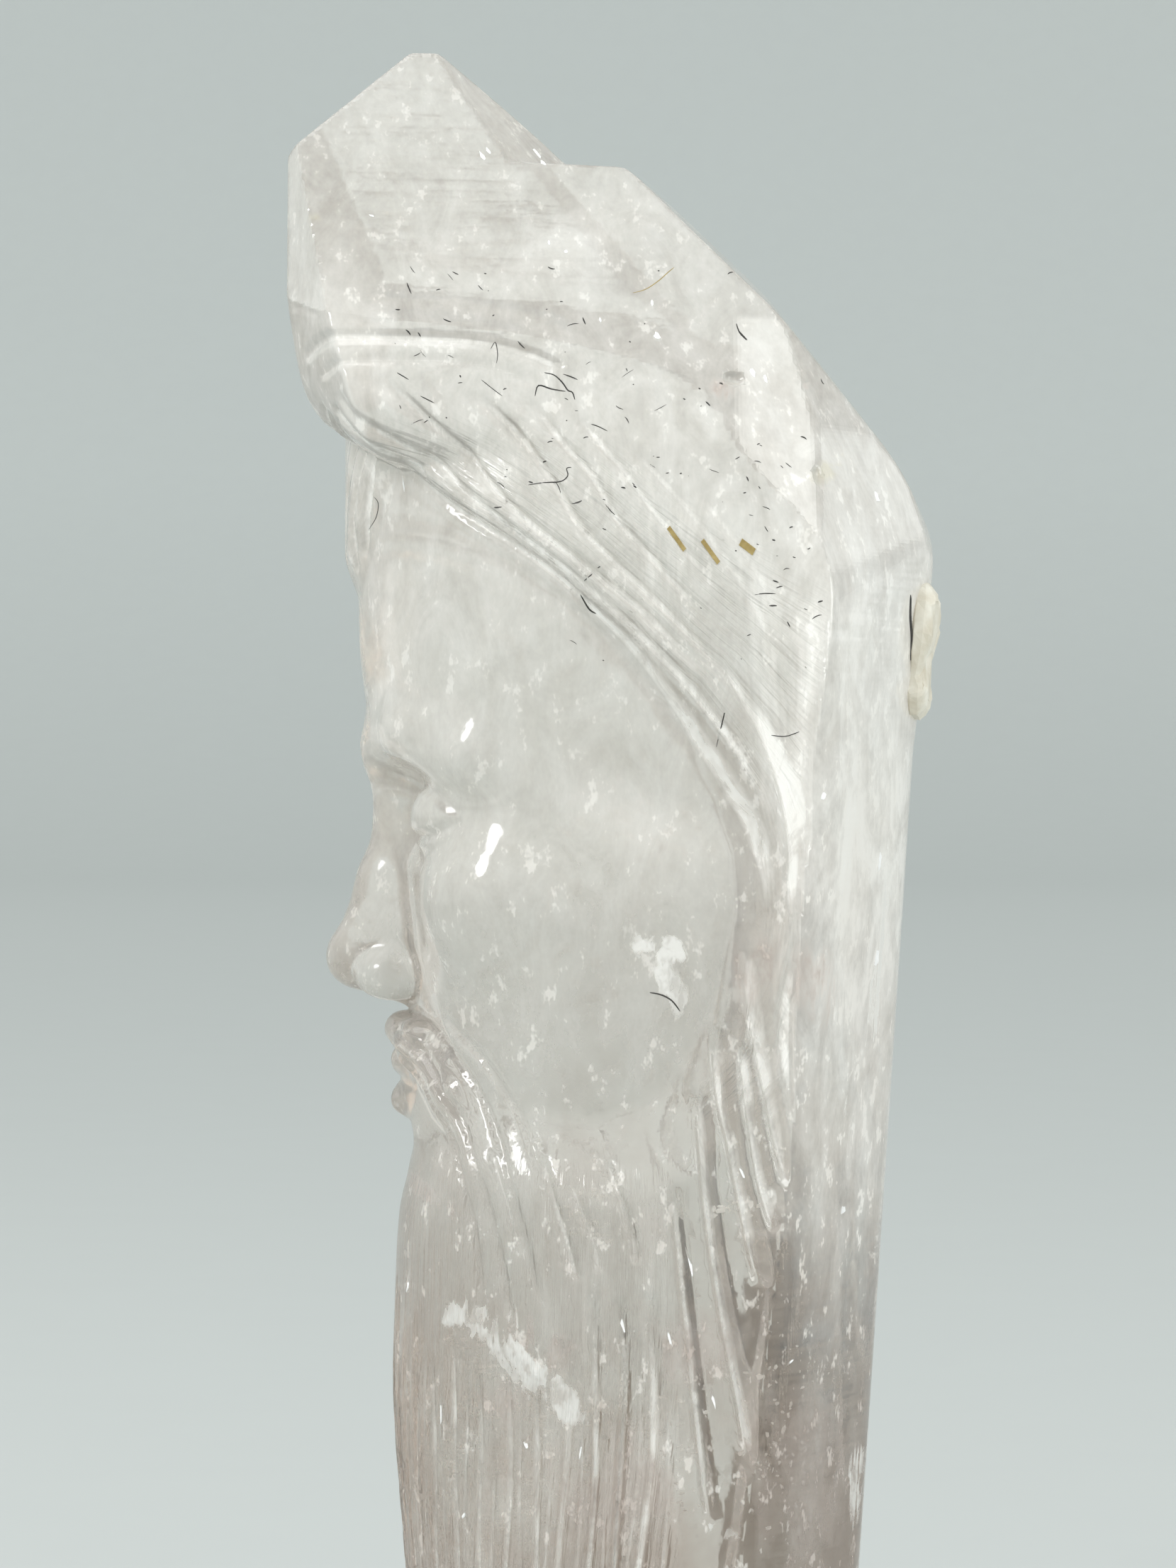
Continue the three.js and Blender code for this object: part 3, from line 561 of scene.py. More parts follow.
def gradient(field, points):
    slopes = np.empty_like(points)
    for axis in range(3):
        step = np.zeros(3)
        step[axis] = SLOPE_STEP
        slopes[:, axis] = evaluate(field, points + step) - evaluate(field, points - step)
    return slopes / np.maximum(np.linalg.norm(slopes, axis=1, keepdims=True), 1e-12)


def shifted(size):
    """The eight corners of a grid's cells, as slices of the grid's corner values."""
    return [tuple(slice(d, d + size[a]) for a, d in enumerate(corner)) for corner in CORNERS]


def sampled_grid(field, low, cells, step):
    """Distances at the grid's corners, exact near the surface and only signed elsewhere."""
    blocks = cells // BLOCK
    corners = low + np.indices(blocks + 1).reshape(3, -1).T * (step * BLOCK)
    far = evaluate(field, corners).reshape(blocks + 1)
    close = np.abs(far) < step * BLOCK * BLOCK_REACH
    inside = far < 0
    near = np.any([close[view] for view in shifted(blocks)], axis=0)
    sides = [inside[view] for view in shifted(blocks)]
    near |= np.any(sides, axis=0) & ~np.all(sides, axis=0)
    values = np.full(cells + 1, 1e3)
    whole = np.kron(inside[:-1, :-1, :-1], np.ones((BLOCK,) * 3, bool)).astype(bool)
    values[:-1, :-1, :-1][whole] = -1e3
    fine = np.zeros(cells + 1, bool)
    big = np.kron(near, np.ones((BLOCK,) * 3, bool)).astype(bool)
    for view in shifted(cells):
        fine[view] |= big
    values[fine] = evaluate(field, low + np.argwhere(fine) * step)
    return values


def crossings(field, values, low, step, axis):
    """Grid edges along an axis that the surface crosses, and where it does."""
    inside = values < 0
    first = [slice(None)] * 3
    second = [slice(None)] * 3
    first[axis] = slice(0, -1)
    second[axis] = slice(1, None)
    edges = np.argwhere(inside[tuple(first)] != inside[tuple(second)])
    ends = edges + np.eye(3, dtype=int)[axis]
    value_a = values[tuple(edges.T)]
    value_b = values[tuple(ends.T)]
    a = low + edges * step
    b = low + ends * step
    for _ in range(3):
        t = np.clip(value_a / (value_a - value_b), 0.05, 0.95)
        middle = a + t[:, None] * (b - a)
        value = evaluate(field, middle)
        left = (value < 0) == (value_a < 0)
        a = np.where(left[:, None], middle, a)
        b = np.where(left[:, None], b, middle)
        value_a = np.where(left, value, value_a)
        value_b = np.where(left, value_b, value)
    t = np.clip(value_a / (value_a - value_b), 0, 1)
    return edges, a + t[:, None] * (b - a)


def surface_mesh(field, low, high, step):
    """Vertices and quads of the field's zero surface."""
    low = np.array(low, float)
    cells = np.ceil((np.array(high, float) - low) / (step * BLOCK)).astype(int) * BLOCK
    values = sampled_grid(field, low, cells, step)
    inside = values < 0
    count = sum(inside[view].astype(np.int8) for view in shifted(cells))
    crossed = np.argwhere((count > 0) & (count < 8))
    index = np.full(cells, -1)
    index[tuple(crossed.T)] = np.arange(len(crossed))
    planes = np.zeros((len(crossed), 3, 3))
    targets = np.zeros((len(crossed), 3))
    middles = np.zeros((len(crossed), 3))
    uses = np.zeros(len(crossed))
    quads = []
    for axis in range(3):
        b, c = (axis + 1) % 3, (axis + 2) % 3
        edges, places = crossings(field, values, low, step, axis)
        normals = gradient(field, places)
        corners = []
        for step_b, step_c in ((-1, -1), (0, -1), (0, 0), (-1, 0)):
            cell = edges.copy()
            cell[:, b] += step_b
            cell[:, c] += step_c
            k = index[tuple(cell.T)]
            local = places - (low + (cell + 0.5) * step)
            np.add.at(planes, k, normals[:, :, None] * normals[:, None, :])
            np.add.at(targets, k, normals * np.einsum("ij,ij->i", normals, local)[:, None])
            np.add.at(middles, k, local)
            np.add.at(uses, k, 1)
            corners.append(k)
        quad = np.stack(corners, axis=1)
        outward = inside[tuple(edges.T)]
        quad[~outward] = quad[~outward][:, ::-1]
        quads.append(quad)
    middles /= uses[:, None]
    planes += np.eye(3) * PULL * uses[:, None, None]
    targets += middles * PULL * uses[:, None]
    places = np.linalg.solve(planes, targets[:, :, None])[:, :, 0]
    places = np.clip(places, -0.5 * step, 0.5 * step)
    return low + (crossed + 0.5) * step + places, np.vstack(quads)


def to_model(points):
    """Drawing millimetres to the model's metres."""
    return (np.asarray(points, float) - np.array([BOX_MIDDLE_X, 0, 0])) * MM


def mesh_object(name, vertices, faces, material, smooth=True):
    mesh = bpy.data.meshes.new(name)
    mesh.from_pydata(vertices.tolist(), [], [tuple(face) for face in faces])
    mesh.polygons.foreach_set("use_smooth", np.full(len(mesh.polygons), smooth))
    mesh.materials.append(material)
    mesh.update()
    piece = bpy.data.objects.new(name, mesh)
    bpy.context.scene.collection.objects.link(piece)
    return piece


class Nodes:
    """Short calls for building a material's node tree."""

    def __init__(self, name):
        self.material = bpy.data.materials.new(name)
        self.material.use_nodes = True
        self.tree = self.material.node_tree
        self.shader = self.tree.nodes["Principled BSDF"]
        self.output = self.tree.nodes["Material Output"]

    def add(self, kind, **settings):
        node = self.tree.nodes.new(kind)
        for key, value in settings.items():
            setattr(node, key, value)
        return node

    def link(self, source, target):
        self.tree.links.new(source, target)

    def place(self, scale=(1, 1, 1)):
        """Object coordinates, stretched."""
        coordinates = self.add("ShaderNodeTexCoord")
        mapping = self.add("ShaderNodeMapping")
        mapping.inputs["Scale"].default_value = scale
        self.link(coordinates.outputs["Object"], mapping.inputs["Vector"])
        return mapping.outputs["Vector"]

    def noise(self, scale, detail, roughness=0.55, stretch=(1, 1, 1), distortion=0.0, vector=None):
        node = self.add("ShaderNodeTexNoise")
        node.inputs["Scale"].default_value = scale
        node.inputs["Detail"].default_value = detail
        node.inputs["Roughness"].default_value = roughness
        node.inputs["Distortion"].default_value = distortion
        self.link(self.place(stretch) if vector is None else vector, node.inputs["Vector"])
        return node.outputs["Fac"]

    def attribute(self, name):
        return self.add("ShaderNodeAttribute", attribute_name=name).outputs["Fac"]

    def ramp(self, source, *stops):
        """Values by stops of position and value."""
        node = self.add("ShaderNodeValToRGB")
        elements = node.color_ramp.elements
        while len(elements) < len(stops):
            elements.new(0.5)
        for element, (position, value) in zip(elements, stops):
            element.position = position
            element.color = (*((value,) * 3 if isinstance(value, (int, float)) else value), 1)
        self.link(source, node.inputs["Fac"])
        return node.outputs["Color"]

    def ragged(self, marks, grain, roughness, rim):
        """1 on some marks whose rims are broken up by a noise, 0 elsewhere."""
        uneven = self.times(self.math("SUBTRACT", grain, 0.5), roughness)
        broken = self.times(self.plus(self.attribute(marks), uneven), 0.5)
        return self.ramp(broken, (0.5 - rim / 2, 1.0), (0.5 + rim / 2, 0.0))

    def times(self, a, b):
        return self.math("MULTIPLY", a, b)

    def plus(self, a, b, clamp=False):
        return self.math("ADD", a, b, clamp)

    def rest(self, share, clamp=False):
        """What a share leaves of 1."""
        return self.math("SUBTRACT", 1.0, share, clamp)

    def math(self, operation, a, b, clamp=False):
        node = self.add("ShaderNodeMath", operation=operation, use_clamp=clamp)
        for socket, value in zip(node.inputs, (a, b)):
            if isinstance(value, (int, float)):
                socket.default_value = value
            else:
                self.link(value, socket)
        return node.outputs["Value"]

    def mix(self, share, a, b):
        node = self.add("ShaderNodeMix", data_type="RGBA")
        for key, value in (("Factor", share), ("A", a), ("B", b)):
            sockets = [socket for socket in node.inputs if socket.name == key and socket.enabled]
            if isinstance(value, (int, float)):
                sockets[0].default_value = value
            elif isinstance(value, tuple):
                sockets[0].default_value = (*value, 1)
            else:
                self.link(value, sockets[0])
        return [socket for socket in node.outputs if socket.enabled][0]

    def bump(self, height, distance, strength, under=None):
        node = self.add("ShaderNodeBump")
        node.inputs["Distance"].default_value = distance
        node.inputs["Strength"].default_value = strength
        self.link(height, node.inputs["Height"])
        if under is not None:
            self.link(under, node.inputs["Normal"])
        return node.outputs["Normal"]


# By height: how milky the stone is, from clear (0) to white (1), and how much of the painted see-through
# tint it has
MILK = [
    (0, 0.05), (36, 0.07), (50, 0.13), (62, 0.22), (84, 0.32), (100, 0.42), (124, 0.50), (142, 0.42),
    (156, 0.38),
]
# More at the back
BACK_MILK = [
    (0, 0.05), (38, 0.12), (50, 0.28), (64, 0.52), (88, 0.52), (100, 0.28), (112, 0.18), (124, 0.05),
]
BACK_BEGINS = (9, 16)
# Painted refraction: the darker pinkish brown of a hand seen through the clear lower stone, by height
SEEN_THROUGH_BY_HEIGHT = [(0, 1.0), (34, 0.95), (52, 0.6), (66, 0.3), (84, 0.18), (98, 0.05), (110, 0)]
# Frosted natural faces: the face, how white it is, and the heights over which the frost comes in
FROSTED_FACES = [
    ((-69.6, 25.6), 0.22, (132.6, 131.9)),
    ((-33.5, 15.8), 0.14, (200, 190)),
    ((-33.5, 15.8), 0.10, (112, 122)),
    ((-28, -3.2), 0.14, (60, 112)),
    ((-90, 5), 0.06, (200, 190)),
]
SAME_FACE = ((0.9975, 0.0), (0.9985, 1.0))  # likeness of two directions, and whether the face is the same
QUARTZ_IOR = 1.544
ABSORPTION = {"color": (0.88, 0.83, 0.78, 1), "density": 8.0}
# Painted highlight: how white the cuts are, for the light their walls catch
LINE_WHITE = 0.52
CLEAR_TINTS = ((0.935, 0.90, 0.845), (0.96, 0.935, 0.89))
# Painted refraction: the tint of a hand seen through the clear lower stone
SEEN_THROUGH_TINT = (0.68, 0.575, 0.51)
BROWN_TINT = (0.64, 0.56, 0.51)
YELLOW_TINT = (0.78, 0.72, 0.54)
WHITE_TINT = (0.82, 0.80, 0.76)
MARK_WHITES = {"pale": 0.15, "brown": 0.22, "yellow": 0.12, "white": 0.65}

# Marks on the near side, and painted highlights, as ovals in the picture: middle (x, height), half length
# and width, then slope
WHITE_MARKS_AND_HIGHLIGHTS = [
    ((-14.6, 48.0), 2.9, 0.9, 8), ((-13.2, 46.2), 2.6, 1.1, -30), ((-9.8, 43.6), 3.6, 1.3, -40),
    ((-6.6, 40.6), 2.4, 1.2, -48), ((1.9, 77.2), 3.4, 1.0, -60), ((2.6, 79.2), 1.5, 0.9, 10),
    ((18.8, 35.4), 0.9, 1.2, -30), ((18.5, 31.8), 0.6, 2.1, 0), ((6.2, 29.6), 2.2, 0.5, -12),
    # Painted highlights: the white ovals on this line and the next, down the back edge, stand for glints of
    # light on the polish
    ((20.0, 74.0), 3.3, 0.95, 86), ((21.1, 82.6), 3.9, 0.32, 87), ((19.3, 88.2), 0.8, 0.45, 60),
    ((17.8, 62.4), 2.5, 0.35, 84),
]
PALE_MARKS = [
    ((-25.2, 131.0), 3.6, 4.6, 10), ((-8.6, 33.4), 7.5, 3.2, 70), ((1.4, 34.6), 5.6, 2.6, 80),
    ((17.6, 104.6), 7.0, 2.2, 85), ((11.5, 55.0), 2.2, 0.5, 3), ((-1.0, 90.6), 6.0, 2.2, -20),
    ((10.6, 112.0), 7.0, 2.6, -50), ((-5.0, 139.8), 6.0, 2.4, 30), ((18.4, 84.6), 8.6, 1.3, 88),
]
BROWN_MARKS = [
    ((9.9, 78.0), 1.7, 2.9, -12), ((15.3, 76.4), 1.9, 2.8, 20), ((-8.4, 45.6), 2.3, 1.6, -20),
    ((5.3, 45.2), 3.2, 2.6, 20), ((-11.6, 40.6), 1.9, 1.8, 0), ((-1.6, 32.4), 4.4, 3.8, 40),
    ((14.2, 34.4), 4.6, 6.8, 10), ((-18.6, 59.0), 3.2, 0.7, -28), ((7.1, 127.2), 1.1, 0.7, -35),
    ((14.6, 127.4), 0.45, 0.3, 0),
]
YELLOW_MARKS = [
    ((-25.4, 142.3), 2.4, 0.45, 9), ((-20.8, 142.9), 2.8, 0.7, 4), ((-16.6, 143.7), 2.6, 0.9, 16),
    ((0.4, 137.0), 2.4, 0.45, -6), ((2.0, 140.0), 2.0, 0.5, 8), ((16.5, 120.4), 1.6, 0.7, 30),
]
MARKS = {
    "white_marks_and_highlights": WHITE_MARKS_AND_HIGHLIGHTS, "pale_marks": PALE_MARKS, "brown_marks": BROWN_MARKS,
    "yellow_marks": YELLOW_MARKS,
}
OVAL_DEPTH = 12
FARTHEST = 10.0


def reach_of_ovals(places, ovals):
    """How far each place is from the nearest of some ovals on the near side: 0 at a middle, 1 at a rim."""
    nearest = np.full(len(places), FARTHEST)
    for (x, z), half_length, half_width, slope in ovals:
        away = places - under_surface(x, z)
        turn = math.radians(slope)
        along = away[:, 0] * math.cos(turn) + away[:, 2] * math.sin(turn)
        across = away[:, 2] * math.cos(turn) - away[:, 0] * math.sin(turn)
        parts = np.stack([along / half_length, across / half_width, away[:, 1] / OVAL_DEPTH])
        nearest = np.minimum(nearest, np.linalg.norm(parts, axis=0))
    return nearest


def quartz_material():
    """Clear quartz: milky above, with a painted see-through tint of a hand below, painted highlight white in
    the cuts, and white on the frosted natural faces.
    """
    n = Nodes("clear_quartz")
    shader = n.shader.inputs
    carved = n.attribute("carved")
    cloud = n.noise(60, detail=4, roughness=0.6)
    wisps = n.noise(230, detail=4, roughness=0.65, stretch=(1, 1, 0.5), distortion=1.2)
    # Painted highlight in the cuts: white where the cut walls would catch light, broken by the wisps; the
    # cuts are also rougher
    line = n.ramp(n.attribute("line"), (0.50, 0.0), (0.92, 1.0))
    line = n.times(line, n.ramp(wisps, (0.40, 0.30), (0.60, 1.0)))
    fibres = n.noise(420, detail=3, roughness=0.6, stretch=(1, 1, 0.10))
    flecks = n.noise(640, detail=3, roughness=0.7, stretch=(1, 1, 0.6))
    broken = n.plus(n.times(wisps, 0.6), n.times(flecks, 0.4))
    # White marks, some of them painted highlights on the back edge, with rims broken up by noise
    white_or_highlight = n.ragged("white_marks_and_highlights", broken, 5.0, 0.16)
    white_or_highlight = n.times(white_or_highlight, n.ramp(flecks, (0.40, 0.35), (0.52, 1.0)))
    pale_mark = n.ragged("pale_marks", cloud, 2.0, 0.7)
    brown_mark = n.ragged("brown_marks", wisps, 3.2, 0.35)
    yellow_mark = n.ragged("yellow_marks", wisps, 3.0, 0.4)
    haze = n.plus(n.ramp(cloud, (0.3, 0.66), (0.7, 0.86)), n.ramp(wisps, (0.35, 0.0), (0.65, 0.26)))
    haze = n.plus(haze, n.ramp(flecks, (0.35, 0.0), (0.65, 0.20)))
    white = n.times(n.attribute("milk"), haze)
    streaks = n.times(n.ramp(fibres, (0.52, 0.0), (0.68, 0.16)), n.attribute("stranded"))
    specks = n.times(n.ramp(flecks, (0.60, 0.0), (0.67, 0.5)),
                    n.plus(n.attribute("seen_through"), 0.35, clamp=True))
    for share in (streaks, specks, frost(n, carved), n.times(line, LINE_WHITE),
                  n.times(pale_mark, MARK_WHITES["pale"]), n.times(brown_mark, MARK_WHITES["brown"]),
                  n.times(yellow_mark, MARK_WHITES["yellow"]), n.times(white_or_highlight, MARK_WHITES["white"])):
        white = n.plus(white, share)
    n.link(n.rest(white, clamp=True), shader["Transmission Weight"])
    tint = n.mix(n.ramp(wisps, (0.35, 0.0), (0.65, 1.0)), *CLEAR_TINTS)
    # Painted refraction in patches below: the darker pinkish brown of a hand seen through the clear stone,
    # kept out of the cuts
    patches = n.ramp(n.noise(95, detail=4, roughness=0.65, stretch=(1, 1, 0.6)), (0.36, 0.12), (0.58, 1.0))
    seen_through_share = n.times(n.attribute("seen_through"), patches)
    seen_through_share = n.times(seen_through_share, n.rest(line))
    tint = n.mix(seen_through_share, tint, SEEN_THROUGH_TINT)
    grainy = n.ramp(flecks, (0.38, 0.35), (0.62, 1.0))
    tint = n.mix(n.times(brown_mark, grainy), tint, BROWN_TINT)
    tint = n.mix(n.times(yellow_mark, 0.5), tint, YELLOW_TINT)
    n.link(n.mix(white_or_highlight, tint, WHITE_TINT), shader["Base Color"])
    rough = n.ramp(n.noise(160, detail=2), (0.35, 0.03), (0.65, 0.10))
    rough = n.plus(rough, n.times(carved, 0.04))
    rough = n.plus(rough, n.times(white_or_highlight, 0.5))
    n.link(n.plus(rough, n.times(line, 0.22), clamp=True), shader["Roughness"])
    shader["IOR"].default_value = QUARTZ_IOR
    ripple = n.bump(n.noise(110, detail=2), 0.0003, 0.5)
    strands = n.add("ShaderNodeAttribute", attribute_name="strand_place").outputs["Vector"]
    engraved = n.times(n.noise(1.0, detail=3, roughness=0.6, vector=strands), n.attribute("stranded"))
    combed = n.bump(engraved, 0.0005, 0.8, under=ripple)
    growth = n.noise(300, detail=2, roughness=0.6, stretch=(0.12, 0.12, 2.2))
    striated = n.bump(n.times(growth, n.rest(carved)), 0.00012, 0.5, under=combed)
    n.link(n.bump(n.noise(900, detail=2, roughness=0.6), 0.00005, 0.5, under=striated), shader["Normal"])
    volume = n.add("ShaderNodeVolumeAbsorption")
    volume.inputs["Color"].default_value = ABSORPTION["color"]
    volume.inputs["Density"].default_value = ABSORPTION["density"]
    n.link(volume.outputs["Volume"], n.output.inputs["Volume"])
    return n.material


def frost(n, carved):
    """White of the frosted natural faces, told by the way each face turns."""
    turned = n.add("ShaderNodeNewGeometry").outputs["True Normal"]
    height = n.add("ShaderNodeSeparateXYZ")
    n.link(n.place(), height.inputs["Vector"])
    grain = n.ramp(n.noise(130, detail=4, roughness=0.7), (0.3, 0.82), (0.7, 1.12))
    whole = 0.0
    for (azimuth, elevation), white, (start, full) in FROSTED_FACES:
        across, up = math.radians(azimuth), math.radians(elevation)
        likeness = n.add("ShaderNodeVectorMath", operation="DOT_PRODUCT")
        n.link(turned, likeness.inputs[0])
        normal = (math.cos(up) * math.cos(across), math.cos(up) * math.sin(across), math.sin(up))
        likeness.inputs[1].default_value = normal
        on_face = n.ramp(likeness.outputs["Value"], *SAME_FACE)
        there = n.add("ShaderNodeMapRange", interpolation_type="SMOOTHSTEP")
        n.link(height.outputs["Z"], there.inputs["Value"])
        there.inputs["From Min"].default_value = start * MM
        there.inputs["From Max"].default_value = full * MM
        share = n.times(n.times(on_face, white), there.outputs["Result"])
        whole = n.plus(whole, share)
    return n.times(n.times(whole, grain), n.rest(carved))


# How deep under the natural faces the carving begins, in all and for its smooth shading
CARVED_DEPTH = (0.1, 0.5)
SMOOTH_DEPTH = 0.06
# The strands' fine engraving: where that of the beard and that of the hair fade out, by height or place
BEARD_TOP = 61
BEARD_AREA = {"top": 64, "behind": 39}
BEARD_FADES = {"height": (63.5, 57), "behind": (39, 36)}
HAIR_FADES = {"outline": (0.4, 1.4), "crown": (14, 10), "below": (64.5, 70), "above": (126, 116)}
ENGRAVING = {"across": 1.5, "along": 0.07, "inward": 0.06, "hair_slope": 0.6}


def smooth_unless_natural(mesh, depth):
    """Natural faces are shaded flat and carved ones smooth."""
    corners = np.empty(len(mesh.loops), int)
    mesh.loops.foreach_get("vertex_index", corners)
    starts = np.empty(len(mesh.polygons), int)
    mesh.polygons.foreach_get("loop_start", starts)
    deepest = np.maximum.reduceat(depth[corners], starts)
    mesh.polygons.foreach_set("use_smooth", deepest > SMOOTH_DEPTH)


def strand_places(places):
    """Coordinates across and along the strands of hair and beard, and how strongly they are engraved."""
    z, _, s = unroll(places)
    (swing, turn, shift), _ = BEARD_WAVES
    t = np.clip((BEARD_TOP - z) / (BEARD_TOP - BEARD_FOOT), 0, 1)
    wave = swing * np.sin(turn * z + WAVE_ROUND * s + shift) * np.sqrt(t)
    beard_across = (s - wave) / (1 - BEARD_GATHER * t)
    hair_across = relief.at("from_face", s, z)
    beard = (z < BEARD_AREA["top"]) & (s < BEARD_AREA["behind"])
    across = np.where(beard, beard_across, hair_across)
    along = np.where(beard, z, z * ENGRAVING["hair_slope"] - s)
    in_beard = smoothstep(*BEARD_FADES["height"], z) * smoothstep(*BEARD_FADES["behind"], s)
    in_hair = smoothstep(*HAIR_FADES["outline"], hair_across)
    in_hair *= smoothstep(*HAIR_FADES["crown"], hair_across)
    in_hair *= smoothstep(*HAIR_FADES["below"], z)
    in_hair *= smoothstep(*HAIR_FADES["above"], z)
    strength = np.maximum(in_beard, in_hair) * smoothstep(*CARVED_DEPTH, -natural(places))
    vectors = np.stack([
        across * ENGRAVING["across"],
        along * ENGRAVING["along"],
        places[:, 1] * ENGRAVING["inward"],
    ], axis=1)
    return vectors, strength


def build_stone():
    vertices, quads = surface_mesh(stone, *STONE_BOX, MESH_STEP)
    body = mesh_object("quartz_body", vertices, quads, quartz_material())
    mesh = body.data
    modifier = body.modifiers.new("fewer", "DECIMATE")
    modifier.ratio = min(1.0, TRIANGLES / (2 * len(quads)))
    depsgraph = bpy.context.evaluated_depsgraph_get()
    thinned = bpy.data.meshes.new_from_object(body.evaluated_get(depsgraph))
    body.modifiers.clear()
    body.data = thinned
    bpy.data.meshes.remove(mesh)
    thinned.name = "quartz_body"
    places = np.empty(len(thinned.vertices) * 3)
    thinned.vertices.foreach_get("co", places)
    places = places.reshape(-1, 3)
    z, _, s = unroll(places)
    depth = -natural(places)
    smooth_unless_natural(thinned, depth)
    carved = smoothstep(*CARVED_DEPTH, depth)
    vectors, strength = strand_places(places)
    values = {
        "carved": carved,
        "line": relief.at("lines", s, z) * carved,
        "milk": profile(MILK, z) + profile(BACK_MILK, z) * smoothstep(*BACK_BEGINS, places[:, 0]),
        "seen_through": profile(SEEN_THROUGH_BY_HEIGHT, z),
        "stranded": strength,
        **{name: reach_of_ovals(places, ovals) for name, ovals in MARKS.items()},
    }
    for name, value in values.items():
        layer = thinned.attributes.new(name, "FLOAT", "POINT")
        layer.data.foreach_set("value", value)
    layer = thinned.attributes.new("strand_place", "FLOAT_VECTOR", "POINT")
    layer.data.foreach_set("vector", vectors.ravel())
    thinned.vertices.foreach_set("co", to_model(places).ravel())
    thinned.update()
    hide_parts("quartz_wand")
    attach(body, "root")
    print("stone", len(quads) * 2, "triangles, thinned to", len(thinned.polygons))


# Small things in and on the stone. A place is given as the camera sees it: x and height in the plane through
# the stone's middle, in drawing millimetres, then how deep under the surface it lies.
CAMERA_AHEAD = 372.0
PICTURE_MIDDLE = (-4.27, 93.43)
SEARCH = {"before": 24.0, "behind": 12.0, "step": 0.5, "halvings": 8}


def under_surface(x, z, depth=0.0):
    """Points under the stone's near side, along the lines of sight through the places given. A line that
    misses the stone gives no numbers."""
    x, z, depth = np.broadcast_arrays(np.asarray(x, float), np.asarray(z, float), depth)
    eye = np.array([PICTURE_MIDDLE[0], -CAMERA_AHEAD, PICTURE_MIDDLE[1]])
    sight = np.stack([x, np.zeros(x.shape), z], axis=-1).reshape(-1, 3) - eye
    sight /= np.linalg.norm(sight, axis=1, keepdims=True)
    start = CAMERA_AHEAD - SEARCH["before"]
    near = np.full(len(sight), start)
    far = np.full(len(sight), np.nan)
    for reach in np.arange(start + SEARCH["step"], CAMERA_AHEAD + SEARCH["behind"], SEARCH["step"]):
        waiting = np.isnan(far)
        hit = waiting & (stone(eye + sight * reach) < 0)
        far[hit] = reach
        near[waiting & ~hit] = reach
    met = np.isfinite(far)
    for _ in range(SEARCH["halvings"]):
        middle = (near[met] + far[met]) / 2
        inside = stone(eye + sight[met] * middle[:, None]) < 0
        far[met] = np.where(inside, middle, far[met])
        near[met] = np.where(inside, near[met], middle)
    return (eye + sight * (far + depth.reshape(-1))[:, None]).reshape(*x.shape, 3)


def tube_faces(rings, sides):
    """Quads between rings of points that follow one another."""
    faces = []
    for i in range(rings - 1):
        for k in range(sides):
            a = i * sides + k
            b = i * sides + (k + 1) % sides
            faces.append((a, b, b + sides, a + sides))
    return faces


# How unevenly a chip's corners stand round it, and how far out they reach
CHIP_TURNS = (-0.3, 0.3)
CHIP_REACH = (0.6, 1.15)


class Pile:
    """Vertices and faces of many small closed solids, joined in one mesh."""

    def __init__(self):
        self.vertices = []
        self.faces = []
        self.count = 0

    def put(self, vertices, faces):
        self.vertices.append(np.asarray(vertices, float))
        self.faces += [tuple(self.count + k for k in face) for face in faces]
        self.count += len(vertices)

    def flake(self, centre, normal, size, stretch, corners, rng, heading=None, thickness=0.05):
        """Thin chip with a ragged outline, a little thicker in the middle."""
        normal = normal / np.linalg.norm(normal)
        heading = rng.normal(size=3) if heading is None else np.asarray(heading, float)
        u = heading - normal * (heading @ normal)
        u /= np.linalg.norm(u)
        v = np.cross(normal, u)
        turns = (np.arange(corners) + rng.uniform(*CHIP_TURNS, corners)) * 2 * math.pi / corners
        reach = size * rng.uniform(*CHIP_REACH, corners)
        rim = centre + np.outer(reach * np.cos(turns) * stretch, u) + np.outer(reach * np.sin(turns), v)
        tops = [centre + normal * thickness, centre - normal * thickness]
        faces = []
        for k in range(corners):
            following = (k + 1) % corners
            faces += [(k, following, corners), (following, k, corners + 1)]
        self.put(np.vstack([rim, tops]), faces)

    def thread(self, path, radius, sides=5):
        """Round thread along a path, tapering to its ends."""
        path = np.asarray(path, float)
        along = np.gradient(path, axis=0)
        along /= np.linalg.norm(along, axis=1, keepdims=True)
        u = np.cross(along, np.array([0.3, 1.0, 0.2]))
        u /= np.linalg.norm(u, axis=1, keepdims=True)
        v = np.cross(along, u)
        turns = np.arange(sides) * 2 * math.pi / sides
        place = np.linspace(0, 1, len(path))
        width = radius * (0.35 + 0.65 * np.sqrt(np.clip(4 * place * (1 - place), 0, 1)))
        rings = (path[:, None] + width[:, None, None]
                 * (np.cos(turns)[:, None] * u[:, None] + np.sin(turns)[:, None] * v[:, None]))
        ends = [tuple(range(sides))[::-1], tuple((len(path) - 1) * sides + k for k in range(sides))]
        self.put(rings.reshape(-1, 3), ends + tube_faces(len(path), sides))

    def finish(self, name, material):
        piece = mesh_object(name, to_model(np.vstack(self.vertices)), self.faces, material, smooth=False)
        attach(piece, "root")


def speck_material(name, dark, light, roughness, transmission=0.0, scale=900, glow=0.0):
    n = Nodes(name)
    grain = n.noise(scale, detail=4)
    n.link(n.ramp(grain, (0.35, dark), (0.65, light)), n.shader.inputs["Base Color"])
    rough = n.ramp(grain, (0.3, max(roughness - 0.1, 0)), (0.7, roughness + 0.1))
    n.link(rough, n.shader.inputs["Roughness"])
    n.shader.inputs["Transmission Weight"].default_value = transmission
    n.shader.inputs["Emission Color"].default_value = (*light, 1)
    n.shader.inputs["Emission Strength"].default_value = glow
    n.link(n.bump(grain, 0.00004, 0.6), n.shader.inputs["Normal"])
    return n.material


